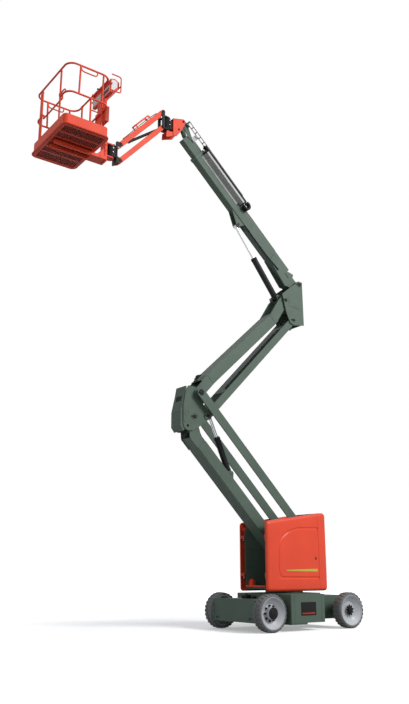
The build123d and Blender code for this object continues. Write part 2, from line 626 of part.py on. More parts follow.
def jib_rotator():
    """Rotary actuator housing with a vertical axis, bolted to the bracket's face."""
    body = bar_z(JIB_ROOT_X, 0, 72, JIB_CAP_LOW + 26, JIB_CAP_HIGH - 26)
    foot = block(TIP_PIN[0] + 225, JIB_ROOT_X, -60, 60, JIB_CAP_LOW + 34, JIB_CAP_HIGH - 34)
    return body + foot - bar_z(JIB_ROOT_X, 0, 31, 8800, 9200)


def jib_root():
    """Rotor of the actuator: shaft, two caps and the side plates that carry the jib bars."""
    x0 = JIB_ROOT_X
    low, high = JIB_CAP_LOW, JIB_CAP_HIGH
    ux, uz = JIB_UPPER
    lx, lz = JIB_LOWER
    shaft = bar_z(x0, 0, 30, low, high)
    caps = bar_z(x0, 0, 70, low, low + 20) + bar_z(x0, 0, 70, high - 20, high)
    caps += block(x0, lx - 46, -JIB_EAR_OUTER, JIB_EAR_OUTER, low, low + 20)
    caps += block(x0, ux - 22, -JIB_EAR_OUTER, JIB_EAR_OUTER, high - 20, high)
    outline = [
        (x0 + 40, low), (lx + 12, low), (lx + 32, low + 24), (ux + 32, high), (x0 + 40, high),
        (x0 + 40, high - 20), (x0 + 82, high - 24), (x0 + 82, low + 24), (x0 + 40, low + 20),
    ]
    sides = both_sides(plate(outline, JIB_EAR_INNER, JIB_EAR_OUTER))
    lugs = ear_pair([(ux, uz, 30), (ux - 22, high - 14, 8), (ux + 24, high - 14, 8)])
    pins = bar_y(ux, uz, 17, -82, 82) + bar_y(lx, lz, 17, -82, 82)
    return shaft + caps + sides + lugs + pins


def ear_pair(discs):
    return both_sides(wrap_plate(discs, JIB_EAR_INNER, JIB_EAR_OUTER))


def jib_bar(root, spacer_at):
    """Twin rectangular tubes joined by end eyes and by one cross tube clear of the cylinder."""
    length = JIB_LENGTH
    width = JIB_BAR_OUTER - JIB_BAR_INNER
    section = RectangleRounded(width, 2 * JIB_BAR_HALF_DEPTH, 6)
    section -= RectangleRounded(width - 8, 2 * JIB_BAR_HALF_DEPTH - 8, 3)
    tube = Pos(34, JIB_BAR_INNER + width / 2, 0) * extrude(Plane.YZ * section, amount=length - 68)
    eyes = bar_y(0, 0, 40, JIB_BAR_INNER, JIB_BAR_OUTER) + bar_y(length, 0, 40, JIB_BAR_INNER, JIB_BAR_OUTER)
    bar = both_sides(tube + eyes) + bar_y(spacer_at, 0, 30, -JIB_BAR_INNER - 2, JIB_BAR_INNER + 2)
    bar -= bar_y(0, 0, 17 + PIN_GAP, -90, 90)
    bar -= bar_y(length, 0, 17 + PIN_GAP, -90, 90)
    return hung(root, JIB_ELEVATION) * bar


def jib_end():
    """Level end casting that the jib bars keep parallel to the jib base."""
    ux, uz = JIB_END_UPPER
    lx, lz = JIB_END_LOWER
    upper = ear_pair([(ux, uz, 32), (ux + 62, uz + 10, 20), (ux + 62, uz - 40, 20)])
    lower = ear_pair([(lx, lz, 32), (lx + 62, lz + 40, 20), (lx + 62, lz - 40, 20)])
    back = block(ux + 62, ux + 84, -JIB_EAR_OUTER, JIB_EAR_OUTER, lz - 70, uz + 30)
    back -= block(ux + 60, ux + 90, -36, 36, uz - 50, uz + 40)
    pins = both_sides(bar_y(ux, uz, 17, 32, 82)) + bar_y(lx, lz, 17, -82, 82)
    return upper + lower + back + pins


def platform_rotator():
    body = bar_z(PLATFORM_AXIS_X, 0, 72, 7898, 8112)
    foot = block(JIB_END_UPPER[0] + 84, PLATFORM_AXIS_X, -60, 60, 7908, 8102)
    return body + foot - bar_z(PLATFORM_AXIS_X, 0, 31, 7800, 8200)


def jib_barrel():
    barrel = cylinder_barrel(JIB_LOWER, JIB_END_UPPER, 880, 26, 16, 30, 28)
    return barrel - bar_y(*JIB_LOWER, 17 + PIN_GAP, -60, 60)


def jib_rod():
    return cylinder_rod(JIB_LOWER, JIB_END_UPPER, 940, 15, 30, 28)


# ---------------------------------------------------------------- platform
def platform_support():
    """Bracket that turns on the platform actuator and carries the floor from below."""
    x0 = PLATFORM_AXIS_X
    rotor = bar_z(x0, 0, 30, 7870, 8140) + bar_z(x0, 0, 70, 8118, 8140) + bar_z(x0, 0, 70, 7870, 7892)
    straps = block(x0, x0 + 140, -70, 70, 8118, 8140) + block(x0, x0 + 140, -70, 70, 7870, 7892)
    post = block(x0 + 100, x0 + 140, -90, 90, 7760, 8160)
    arms = both_sides(block(x0 + 110, 4860, 60, 110, 7770, FLOOR_BOTTOM - 1))
    brace = block(x0 + 110, FLOOR_REAR + 40, -110, 110, 7770, FLOOR_BOTTOM - 1)
    return rotor + straps + post + arms + brace


def platform_floor():
    """Tubular perimeter frame with stringers under a flat deck, and the toe boards round it."""
    length, width = FLOOR_FRONT - FLOOR_REAR, 2 * FLOOR_HALF
    middle = Pos((FLOOR_FRONT + FLOOR_REAR) / 2, 0, FLOOR_BOTTOM)
    outline = RectangleRounded(length, width, 70)
    ring = outline - RectangleRounded(length - 90, width - 90, 30)
    floor = middle * extrude(ring, amount=45) + middle * Pos(0, 0, 45) * extrude(outline, amount=6)
    for y in (-360, -180, 0, 180, 360):
        floor += block(FLOOR_REAR + 40, FLOOR_FRONT - 40, y - 20, y + 20, FLOOR_BOTTOM + 5, FLOOR_BOTTOM + 46)
    board = outline - RectangleRounded(length - 10, width - 10, 65)
    floor += middle * Pos(0, 0, 50) * extrude(board, amount=TOE_BOARD_TOP - FLOOR_BOTTOM - 50)
    return floor + ring_rail(FLOOR_REAR - 4, FLOOR_FRONT + 14, FLOOR_HALF + 24, FLOOR_BOTTOM + 16, 90)


def platform_rails():
    """Welded guard rails: closed top and mid rails on upright posts."""
    top = ring_rail(RAIL_REAR, RAIL_FRONT, RAIL_HALF, TOP_RAIL_Z, 150)
    mid = ring_rail(RAIL_REAR, MID_RAIL_FRONT, MID_RAIL_HALF, MID_RAIL_Z, 130)
    gate = block(POST_FRONT - 60, POST_FRONT + 60, GATE_RIGHT, GATE_LEFT, MID_RAIL_Z - 40, MID_RAIL_Z + 40)
    rails = top + mid - gate
    for x, y in ((POST_FRONT, GATE_RIGHT), (POST_FRONT, GATE_LEFT), (POST_REAR + 8, -385), (POST_REAR + 8, 385)):
        rails += bar_z(x, y, RAIL_RADIUS, FLOOR_TOP, TOP_RAIL_Z)
    # Side posts: from the floor to the mid rail, and from the mid rail to the top rail.
    low_y, mid_y, top_y = FLOOR_HALF - 3, MID_RAIL_HALF, RAIL_HALF
    for x, start, end in (
        (4490, (low_y, TOE_BOARD_TOP + 1), (mid_y, MID_RAIL_Z)),
        (4710, (mid_y, MID_RAIL_Z), (top_y, TOP_RAIL_Z)),
        (4285, (mid_y, MID_RAIL_Z), (top_y, TOP_RAIL_Z)),
    ):
        rails += both_sides(slanted_post(x, start, end))
    return rails


def slanted_post(x, start, end):
    """Straight tube between two (y, z) points in one cross plane."""
    rise = (end[0] - start[0], end[1] - start[1])
    tilt = degrees(atan2(rise[0], rise[1]))
    return Location((x, start[0], start[1]), (-tilt, 0, 0)) * bar_z(0, 0, RAIL_RADIUS, 0, hypot(*rise))


def entry_bar():
    """Bar across the entry that slides up on the two front posts."""
    x_bar, x_post = POST_FRONT - 41, POST_FRONT
    bar = bar_y(x_bar, MID_RAIL_Z, 14, GATE_RIGHT - 12, GATE_LEFT + 12)
    for y in (GATE_RIGHT, GATE_LEFT):
        sleeve = bar_z(x_post, y, 24, MID_RAIL_Z + 28, MID_RAIL_Z + 68)
        bridge = block(x_bar - 10, x_post, y - 8, y + 8, MID_RAIL_Z, MID_RAIL_Z + 68)
        bridge -= block(x_bar + 14, x_post, y - 9, y + 9, MID_RAIL_Z - 1, MID_RAIL_Z + 28)
        bar += sleeve + bridge - bar_z(x_post, y, RAIL_RADIUS + PIN_GAP, MID_RAIL_Z + 20, MID_RAIL_Z + 80)
    return bar


def control_console():
    """Operator's control box on a leg outside the rear rail, inside a tubular guard."""
    outline = [(3965, 8868), (3965, 8985), (4050, 9030), (4128, 9005), (4128, 8750), (4072, 8750)]
    box = plate(outline, -40, 600)
    leg_top = block(4084, 4128, 150, 410, 8540, 8760)
    leg = block(4066, RAIL_REAR - RAIL_RADIUS, 90, 470, 8270, 8550)
    guard = bar_y(3950, 8900, 11, -90, 640) + bar_y(4120, 8900, 11, -90, 640)
    for y in (-90, 640):
        guard += pipe([(4128, y, 8760), (3950, y, 8760), (3950, y, 9070), (4128, y, 9070)], 11, 45)
    return box + leg_top + leg + guard


def main():
    os.makedirs("parts", exist_ok=True)
    nodes = {
        "chassis_frame": chassis_frame(),
        "side_boxes": side_boxes(),
        "axles": axles(),
        "steering_cylinder": steering_cylinder(),
        "tie_rod": tie_rod(),
        "slew_ring": slew_ring(),
        "turret_frame": turret_frame(),
        "counterweight": counterweight(),
        "side_packs": side_packs(),
        "front_sill": front_sill(),
        "rear_hood": rear_hood(),
        "arm1": arm1(),
        "stage1_links": stage1_links(),
        "mid_knuckle": mid_knuckle(),
        "arm2": arm2(),
        "stage2_link": stage2_link(),
        "upright": upright(),
        "riser_barrel": riser_barrel(),
        "riser_rod": riser_rod(),
        "lift_barrel": lift_barrel(),
        "lift_rod": lift_rod(),
        "boom_base": boom_base(),
        "boom_fly": boom_fly(),
        "cable_tray": cable_tray(),
        "cable_chain": cable_chain(),
        "cable_rail": cable_rail(),
        "jib_base": jib_base(),
        "jib_rotator": jib_rotator(),
        "jib_root": jib_root(),
        "jib_upper_bar": jib_bar(JIB_UPPER, 120),
        "jib_lower_bar": jib_bar(JIB_LOWER, JIB_LENGTH - 160),
        "jib_end": jib_end(),
        "jib_barrel": jib_barrel(),
        "jib_rod": jib_rod(),
        "platform_rotator": platform_rotator(),
        "platform_support": platform_support(),
        "platform_floor": platform_floor(),
        "platform_rails": platform_rails(),
        "entry_bar": entry_bar(),
        "control_console": control_console(),
    }
    for side, word in ((1, "left"), (-1, "right")):
        nodes[f"side_cover_{word}"] = side_cover(side)
        nodes[f"steering_knuckle_{word}"] = steering_knuckle(side)
        nodes[f"tyre_front_{word}"] = tyre(WHEELBASE / 2, side)
        nodes[f"wheel_front_{word}"] = wheel(WHEELBASE / 2, side, 84, 4, 98)
        nodes[f"tyre_rear_{word}"] = tyre(-WHEELBASE / 2, side)
        nodes[f"wheel_rear_{word}"] = wheel(-WHEELBASE / 2, side, 84, 60, 70)
    for name, shape in nodes.items():
        export_step(shape, f"parts/{name}.step")


main()
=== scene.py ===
import json
import math

import bmesh
import bpy
from mathutils import Matrix, Vector


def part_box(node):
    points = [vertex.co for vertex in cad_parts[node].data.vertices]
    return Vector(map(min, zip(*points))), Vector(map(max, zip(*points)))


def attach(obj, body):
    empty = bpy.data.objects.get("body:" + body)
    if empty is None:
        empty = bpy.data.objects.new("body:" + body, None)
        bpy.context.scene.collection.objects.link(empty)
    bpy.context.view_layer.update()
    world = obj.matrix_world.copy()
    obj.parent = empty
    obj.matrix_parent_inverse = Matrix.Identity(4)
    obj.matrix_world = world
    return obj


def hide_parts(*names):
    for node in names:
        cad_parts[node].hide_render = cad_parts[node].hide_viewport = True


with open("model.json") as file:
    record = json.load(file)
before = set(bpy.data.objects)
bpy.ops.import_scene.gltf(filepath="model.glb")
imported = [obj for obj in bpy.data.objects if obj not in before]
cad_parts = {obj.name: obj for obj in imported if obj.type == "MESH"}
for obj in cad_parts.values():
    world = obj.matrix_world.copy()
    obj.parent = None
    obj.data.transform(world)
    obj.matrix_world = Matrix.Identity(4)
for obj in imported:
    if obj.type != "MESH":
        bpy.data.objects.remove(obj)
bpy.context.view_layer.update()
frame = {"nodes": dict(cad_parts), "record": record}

record = frame["record"]
anchors = {j["name"]: Vector(j["pos_m"]) for j in record["behaviour"]["joints"] if "pos_m" in j}


# ---------------- node helpers
def add_node(nodes, kind, values=None, operation=None):
    """New shader node with the values of some of its inputs."""
    node = nodes.new(kind)
    if operation:
        node.operation = operation
    for name, value in (values or {}).items():
        node.inputs[name].default_value = value
    return node


def new_material(name):
    material = bpy.data.materials.new(name)
    material.use_nodes = True
    return material, material.node_tree.nodes, material.node_tree.links


def seen_rays(nodes, links):
    """1 for the rays that should meet the plain background: camera, glossy and transmission rays."""
    path = add_node(nodes, "ShaderNodeLightPath")
    seen = path.outputs["Is Camera Ray"]
    for kind in ("Is Glossy Ray", "Is Transmission Ray"):
        either = add_node(nodes, "ShaderNodeMath", operation="MAXIMUM")
        links.new(seen, either.inputs[0])
        links.new(path.outputs[kind], either.inputs[1])
        seen = either.outputs[0]
    return seen


def mix_by_ray(nodes, links, unseen, seen):
    """One shader for the seen rays, and another for the light that falls on the object."""
    mix = add_node(nodes, "ShaderNodeMixShader")
    links.new(seen_rays(nodes, links), mix.inputs[0])
    links.new(unseen.outputs[0], mix.inputs[1])
    links.new(seen.outputs[0], mix.inputs[2])
    return mix.outputs[0]


# ---------------- camera, light and stage
SENSOR_MM, LENS_MM = 36, 39.105
CAMERA_PLACE = (9.4169, 10.6242, 0.979)
CAMERA_HEADING = math.radians(-125.881)  # from +X, seen from above
CAMERA_RISE = math.radians(15.891)  # above the horizon
FAR_CLIP = 200
WHITE = (1, 1, 1, 1)
SKY_COLOUR, SKY_STRENGTH = (0.93, 0.96, 1.0, 1), 0.42
FLOOR_HALF = 60
FLOOR_COLOUR = (0.85, 0.85, 0.85, 1)  # as it is seen
FLOOR_BOUNCE = (0.2, 0.2, 0.2, 1)  # as it lights the object
FLOOR_GLOW = {"From Min": 3.5, "From Max": 9.0, "To Min": 0.34, "To Max": 1.0}  # against distance
LAMP_SIZE = 8
LAMPS = (  # name, place, target, power in watts
    ("key", (-6, 16, 14), (0.5, 0, 4), 3600),
    ("fill", (14, 8, 5), (1, 0, 4.5), 300),
)


def make_camera():
    data = bpy.data.cameras.new("camera")
    data.sensor_width = SENSOR_MM
    data.lens = LENS_MM
    data.clip_end = FAR_CLIP
    cam = bpy.data.objects.new("camera", data)
    bpy.context.collection.objects.link(cam)
    cam.location = CAMERA_PLACE
    level = math.cos(CAMERA_RISE)
    look = Vector((math.cos(CAMERA_HEADING) * level, math.sin(CAMERA_HEADING) * level, math.sin(CAMERA_RISE)))
    cam.rotation_euler = look.to_track_quat("-Z", "Y").to_euler()
    bpy.context.scene.camera = cam


def area_light(name, place, target, power):
    data = bpy.data.lights.new(name, "AREA")
    data.shape = "DISK"
    data.size = LAMP_SIZE
    data.energy = power
    lamp = bpy.data.objects.new(name, data)
    lamp.location = place
    lamp.rotation_euler = (Vector(target) - Vector(place)).to_track_quat("-Z", "Y").to_euler()
    lamp.visible_camera = False
    bpy.context.collection.objects.link(lamp)


def make_world():
    """Soft sky for the object, and plain white where the background is seen."""
    world = bpy.data.worlds.new("studio")
    bpy.context.scene.world = world
    world.use_nodes = True
    nodes, links = world.node_tree.nodes, world.node_tree.links
    nodes.clear()
    soft = add_node(nodes, "ShaderNodeBackground", {"Color": SKY_COLOUR, "Strength": SKY_STRENGTH})
    seen = add_node(nodes, "ShaderNodeBackground", {"Color": WHITE, "Strength": 1.0})
    out = add_node(nodes, "ShaderNodeOutputWorld")
    links.new(mix_by_ray(nodes, links, soft, seen), out.inputs["Surface"])


def make_floor():
    """Pale floor that takes the shadow and glows up to plain white away from the object."""
    mesh = bpy.data.meshes.new("floor")
    corners = [(x * FLOOR_HALF, y * FLOOR_HALF, 0) for x, y in ((-1, -1), (1, -1), (1, 1), (-1, 1))]
    mesh.from_pydata(corners, [], [(0, 1, 2, 3)])
    floor = bpy.data.objects.new("floor", mesh)
    bpy.context.collection.objects.link(floor)
    material, nodes, links = new_material("floor_white")
    nodes.clear()
    place = add_node(nodes, "ShaderNodeNewGeometry")
    distance = add_node(nodes, "ShaderNodeVectorMath", operation="LENGTH")
    links.new(place.outputs["Position"], distance.inputs[0])
    fade = add_node(nodes, "ShaderNodeMapRange", FLOOR_GLOW)
    links.new(distance.outputs["Value"], fade.inputs["Value"])
    glow = add_node(nodes, "ShaderNodeEmission")
    links.new(fade.outputs[0], glow.inputs["Strength"])
    matt = add_node(nodes, "ShaderNodeBsdfDiffuse", {"Color": FLOOR_COLOUR})
    seen = add_node(nodes, "ShaderNodeAddShader")
    links.new(matt.outputs[0], seen.inputs[0])
    links.new(glow.outputs[0], seen.inputs[1])
    unseen = add_node(nodes, "ShaderNodeBsdfDiffuse", {"Color": FLOOR_BOUNCE})
    out = add_node(nodes, "ShaderNodeOutputMaterial")
    links.new(mix_by_ray(nodes, links, unseen, seen), out.inputs["Surface"])
    mesh.materials.append(material)


bpy.context.scene.view_settings.view_transform = "Standard"
make_camera()
make_world()
make_floor()
for lamp_row in LAMPS:
    area_light(*lamp_row)


# ---------------- materials
DRIFT_SCALE, GLOSS_SCALE, PEEL_SCALE = 2.3, 9, 120  # noise scales, from broad to fine
TINT_STOPS = (0.30, 0.70)
GLOSS_BELOW, GLOSS_ABOVE = 0.07, 0.10  # how far the roughness strays
PEEL_STRENGTH, PEEL_DEPTH = 0.4, 0.0004
COAT_ROUGHNESS = 0.3


def noise(nodes, links, scale, detail):
    coords = add_node(nodes, "ShaderNodeTexCoord")
    texture = add_node(nodes, "ShaderNodeTexNoise", {"Scale": scale, "Detail": detail, "Roughness": 0.55})
    links.new(coords.outputs["Object"], texture.inputs["Vector"])
    return texture.outputs["Fac"]


def shade(colour, factor):
    return tuple(min(1.0, channel * factor) for channel in colour)


def paint(name, colour, rough, spread, peel, coat, metal, gleam):
    """Sprayed paint: faint large-scale colour drift, uneven gloss and fine orange peel."""
    material, nodes, links = new_material(name)
    shader = nodes["Principled BSDF"]
    tint = add_node(nodes, "ShaderNodeValToRGB")
    for element, stop, factor in zip(tint.color_ramp.elements, TINT_STOPS, (1 - spread, 1 + spread)):
        element.position = stop
        element.color = (*shade(colour, factor), 1)
    links.new(noise(nodes, links, DRIFT_SCALE, 4), tint.inputs["Fac"])
    links.new(tint.outputs["Color"], shader.inputs["Base Color"])
    limits = {"To Min": rough - GLOSS_BELOW, "To Max": rough + GLOSS_ABOVE}
    gloss = add_node(nodes, "ShaderNodeMapRange", limits)
    links.new(noise(nodes, links, GLOSS_SCALE, 5), gloss.inputs["Value"])
    links.new(gloss.outputs[0], shader.inputs["Roughness"])
    skin = add_node(nodes, "ShaderNodeBump", {"Strength": peel * PEEL_STRENGTH, "Distance": PEEL_DEPTH})
    links.new(noise(nodes, links, PEEL_SCALE, 2), skin.inputs["Height"])
    links.new(skin.outputs["Normal"], shader.inputs["Normal"])
    shader.inputs["Metallic"].default_value = metal
    shader.inputs["Coat Weight"].default_value = coat
    shader.inputs["Coat Roughness"].default_value = COAT_ROUGHNESS
    shader.inputs["Specular IOR Level"].default_value = gleam
    return material


RED = (0.74, 0.064, 0.024)
GREEN = (0.072, 0.106, 0.082)
# name: colour, roughness, colour drift, orange peel, coat, metal, specular level
PAINTS = {
    "red_paint": (RED, 0.50, 0.10, 0.25, 0.0, 0.0, 0.25),
    "green_paint": (GREEN, 0.55, 0.10, 0.25, 0.0, 0.0, 0.25),
    "red_covers": (RED, 0.40, 0.05, 0.50, 0.1, 0.0, 0.25),
    "dark_metal": ((0.011, 0.012, 0.013), 0.45, 0.10, 0.25, 0.0, 0.0, 0.12),
    "black_plastic": ((0.010, 0.010, 0.011), 0.60, 0.15, 0.80, 0.0, 0.0, 0.12),
    "chrome_rod": ((0.36, 0.37, 0.39), 0.22, 0.02, 0.05, 0.0, 1.0, 0.25),
    "rim_silver": ((0.44, 0.46, 0.48), 0.40, 0.10, 0.30, 0.2, 0.0, 0.25),
    "tyre_grey": ((0.16, 0.165, 0.165), 0.75, 0.12, 0.80, 0.0, 0.0, 0.25),
    "bare_steel": ((0.24, 0.25, 0.26), 0.35, 0.10, 0.40, 0.0, 1.0, 0.25),
    "weld": (shade(GREEN, 0.82), 0.50, 0.20, 1.00, 0.1, 0.0, 0.25),
    # red_dark: the red paint darkened to 0.42; on the floor mesh this darkening is painted shade of the
    # platform's underside
    "red_dark": (shade(RED, 0.42), 0.50, 0.12, 0.40, 0.0, 0.0, 0.25),
    "hose_grey": ((0.10, 0.10, 0.105), 0.60, 0.10, 0.60, 0.0, 0.0, 0.25),
    "panel_white": ((0.66, 0.67, 0.68), 0.50, 0.03, 0.20, 0.0, 0.0, 0.25),
    "stripe_green": ((0.42, 0.48, 0.05), 0.40, 0.05, 0.30, 0.2, 0.0, 0.25),
    "pale_metal": ((0.40, 0.41, 0.40), 0.50, 0.06, 0.30, 0.0, 0.0, 0.25),
}
MATERIALS = {name: paint(name, *values) for name, values in PAINTS.items()}

for row in record["subparts"]:
    node = frame["nodes"][row["node"]]
    node.data.materials.clear()
    node.data.materials.append(MATERIALS[row["material_slot"]])


# ---------------- building helpers
FLAT = Matrix.Identity(4)
UP = (0, 0, 1)
FORWARD = (1, 0, 0)
SIDES = (1, -1)
SIDE_WORDS = ((1, "left"), (-1, "right"))
SHARP_ANGLE = math.radians(32)
HOSE_LEAN = Vector((0.13, 0.97, 0.2))  # no hose runs this way, so the rings don't twist
WASHER = ((0, 1.35), (0.25, 1.35))  # (height, radius) in radii of the bolt's head
HEXAGON = ((0.25, 1.0), (0.95, 1.0), (1.1, 0.85))


def member(pin, elevation):
    """Frame of a member hung on a pin: local X along it, local Z above it."""
    return Matrix.Translation(pin) @ Matrix.Rotation(-math.radians(elevation), 4, "Y")


def bearing(start, end):
    """Elevation in degrees of the line between two pins."""
    return math.degrees(math.atan2(end.z - start.z, end.x - start.x))


def turns(count, offset=0.0):
    """Evenly spaced angles of a full turn, the first one offset by a share of a step."""
    return [2 * math.pi * (k + offset) / count for k in range(count)]


def about(middle, half):
    """Span of a half width about its middle."""
    return middle - half, middle + half


def flank(side, inner, outer):
    """Lateral span, in rising order, between two distances from the middle plane."""
    return sorted((side * inner, side * outer))


def add_box(bm, xs, ys, zs, place=FLAT, bevel=0.0):
    """Box between three (low, high) spans."""
    made = bmesh.ops.create_cube(bm, size=1)["verts"]
    for vert in made:
        spans = zip((xs, ys, zs), vert.co)
        vert.co = Vector([(low + high) / 2 + (high - low) * share for (low, high), share in spans])
    if bevel:
        edges = list({edge for vert in made for edge in vert.link_edges})
        made = bmesh.ops.bevel(bm, geom=edges, offset=bevel, segments=2, profile=0.7, affect="EDGES")["verts"]
    bmesh.ops.transform(bm, matrix=place, verts=list(set(made)))


def add_loft(bm, rings, place=FLAT, caps=True):
    rows = [[bm.verts.new(place @ point) for point in ring] for ring in rings]
    count = len(rows[0])
    for low, high in zip(rows, rows[1:]):
        for k in range(count):
            bm.faces.new((low[k], low[(k + 1) % count], high[(k + 1) % count], high[k]))
    if caps:
        bm.faces.new(rows[0])
        bm.faces.new(list(reversed(rows[-1])))


def ring_points(centre, axis, radius, sides, side=None):
    """Circle of points round an axis, from a given side of it."""
    if side is None:
        side = axis.orthogonal().normalized()
    up = axis.cross(side)
    return [centre + radius * (math.cos(a) * side + math.sin(a) * up) for a in turns(sides)]


def add_turned(bm, start, axis, profile, sides, place=FLAT):
    """Turned part along an axis: profile rows are (distance from start, radius)."""
    start, axis = Vector(start), Vector(axis).normalized()
    add_loft(bm, [ring_points(start + axis * d, axis, r, sides) for d, r in profile], place)


def add_rod(bm, start, end, radius, sides, place=FLAT, edge=0.0):
    """Round rod between two points, with its end edges chamfered if asked."""
    axis = Vector(end) - Vector(start)
    length = axis.length
    profile = [(0, radius), (length, radius)]
    if edge:
        profile = [(0, radius - edge), (edge, radius), (length - edge, radius), (length, radius - edge)]
    add_turned(bm, start, axis, profile, sides, place)


def add_bolt(bm, base, outward, radius, place=FLAT):
    """Hexagon head on a washer."""
    for shape, sides in ((WASHER, 18), (HEXAGON, 6)):
        add_turned(bm, base, outward, [(radius * d, radius * r) for d, r in shape], sides, place)


def add_cap(bm, x, y, z, side, radius, height, sides, place=FLAT):
    """Plain chamfered end of a pin, standing on a lug's outer face."""
    profile = [(0, radius), (height, radius - 0.002), (height + 0.001, 0)]
    add_turned(bm, (x, side * y, z), (0, side, 0), profile, sides, place)


def curve_points(knots, steps):
    """Smooth path through the knots (Catmull-Rom)."""
    knots = [Vector(k) for k in knots]
    padded = [2 * knots[0] - knots[1], *knots, 2 * knots[-1] - knots[-2]]
    path = []
    for a, b, c, d in zip(padded, padded[1:], padded[2:], padded[3:]):
        for step in range(steps):
            t = step / steps
            square = (2 * a - 5 * b + 4 * c - d) * t * t
            cube = (3 * b - a - 3 * c + d) * t ** 3
            path.append(0.5 * (2 * b + (c - a) * t + square + cube))
    return path + [knots[-1]]


def add_hose(bm, knots, radius, place=FLAT, steps=8, sides=8):
    """Hose or bent bar along a smooth path through the knots."""
    points = curve_points(knots, steps)
    rings = []
    for k, point in enumerate(points):
        axis = (points[min(k + 1, len(points) - 1)] - points[max(k - 1, 0)]).normalized()
        rings.append(ring_points(point, axis, radius, sides, axis.cross(HOSE_LEAN).normalized()))
    add_loft(bm, rings, place)


def add_plate(bm, outline, ys, place=FLAT):
    """Plate from an X-Z outline over a lateral span."""
    add_loft(bm, [[Vector((x, y, z)) for x, z in outline] for y in ys], place)


def add_seam(bm, y, outline, bead=0.004, place=FLAT):
    """Weld bead along the straight legs of an X-Z outline at a lateral position."""
    for (x0, z0), (x1, z1) in zip(outline, outline[1:]):
        add_rod(bm, (x0, y, z0), (x1, y, z1), bead, 6, place)


def add_ring_seam(bm, x, y, z, radius, sides, bead=0.004, place=FLAT):
    """Weld bead round a boss that points sideways."""
    ring = [(x + radius * math.cos(a), z + radius * math.sin(a)) for a in turns(sides)]
    add_seam(bm, y, ring + ring[:1], bead, place)


def piece(name, build, body, material, *values, replaced=()):
    """Named piece that rides on a body; build fills its mesh from the values."""
    bm = bmesh.new()
    build(bm, *values)
    bmesh.ops.recalc_face_normals(bm, faces=bm.faces)
    mesh = bpy.data.meshes.new(name)
    bm.to_mesh(mesh)
    bm.free()
    mesh.polygons.foreach_set("use_smooth", [True] * len(mesh.polygons))
    mesh.set_sharp_from_angle(angle=SHARP_ANGLE)
    mesh.materials.append(MATERIALS[material])
    obj = bpy.data.objects.new(name, mesh)
    bpy.context.collection.objects.link(obj)
    if replaced:
        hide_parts(*replaced)
    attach(obj, body)


# ---------------- frames of the members
RISER_LEAN = bearing(anchors["riser"], anchors["riser_knuckle"])
UPPER_LEAN = bearing(anchors["riser_upright"], anchors["riser_upper"])
BOOM_LEAN = 42.5
JIB_LEAN = bearing(anchors["jib_luff"], anchors["jib_end_level"])
# The second link is parallel to the upper arm, so its pins are equally far from the arm's.
UPRIGHT_LINK_PIN = anchors["riser_upright"] + anchors["riser_upper_link"] - anchors["riser_upper"]
JIB_REACH = anchors["jib_end_level"] - anchors["jib_luff"]
ARM1 = member(anchors["riser"], RISER_LEAN)
LINKS1 = member(anchors["riser_links"], RISER_LEAN)
ARM2 = member(anchors["riser_upright"], UPPER_LEAN)
LINK2 = member(UPRIGHT_LINK_PIN, UPPER_LEAN)
BOOM = member(anchors["luff"], BOOM_LEAN)
JIB_TOP_BAR = member(anchors["jib_luff"], JIB_LEAN)


# ---------------- wheels
AXLE_X, WHEEL_Z = anchors["front_wheel_left"].x, anchors["front_wheel_left"].z
TYRE_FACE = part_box("tyre_front_left")[1][1]
TYRE_WIDTH = 0.185
TYRE_SIDES = 72
# half of the tyre's section: (inset from the sidewall, radius)
SIDEWALL = ((0.008, 0.2505), (0.0, 0.256), (0.0, 0.272), (0.010, 0.284), (0.024, 0.290))
LUGS = 26
LUG_ROOT, LUG_SHOULDER, LUG_TOP = 0.286, 0.2915, 0.2998  # radii
LUG_HALF_TURN = 0.30 * 2 * math.pi / LUGS
LUG_SLANT = 0.075  # radians over a lug's length
WHEEL_BOLTS = 9
FRONT_DISC_FACE, FRONT_BOLT_CIRCLE = 0.6635, 0.121
REAR_FLANGE_INSET, REAR_FLANGE_THICK, REAR_BOLT_CIRCLE = 0.060, 0.016, 0.077
FLANGE_TEETH = (0.092, 0.092, 0.064, 0.064)  # radii, repeated round the flange


def wheel_point(x, y, radius, angle):
    return Vector((x + radius * math.cos(angle), y, WHEEL_Z + radius * math.sin(angle)))


def add_lug(bm, x, side, start, slant, ends, low_end):
    """One tread lug, which drops to the shoulder at its low end."""
    rings = []
    for share in (0.0, 0.22, 1.0):
        y = ends[0] + (ends[1] - ends[0]) * share
        top = LUG_SHOULDER if share == low_end else LUG_TOP
        half, crest = LUG_HALF_TURN, LUG_HALF_TURN * 0.86
        corners = ((-half, LUG_ROOT), (-crest, top), (crest, top), (half, LUG_ROOT))
        rings.append([wheel_point(x, side * y, r, start + slant * share + a) for a, r in corners])
    add_loft(bm, rings)


def tyre_mesh(bm, x, side):
    """Solid tyre: smooth sidewalls, and slanted lugs in two staggered rows round the tread."""
    outer, inner = TYRE_FACE, TYRE_FACE - TYRE_WIDTH
    profile = [(outer - inset, radius) for inset, radius in SIDEWALL]
    profile += [(inner + inset, radius) for inset, radius in reversed(SIDEWALL)]
    rows = [[wheel_point(x, side * y, radius, a) for a in turns(TYRE_SIDES)] for y, radius in profile]
    add_loft(bm, rows + [rows[0]], caps=False)
    tread = (  # ends of the lugs, share of the low end, slant
        ((outer - 0.003, outer - 0.086), 0.0, LUG_SLANT),
        ((outer - 0.099, inner + 0.003), 1.0, -LUG_SLANT),
    )
    for k, (ends, low_end, slant) in enumerate(tread):
        for start in turns(LUGS, 0.5 * k):
            add_lug(bm, x, side, start, slant, ends, low_end)
    bmesh.ops.remove_doubles(bm, verts=bm.verts, dist=1e-6)


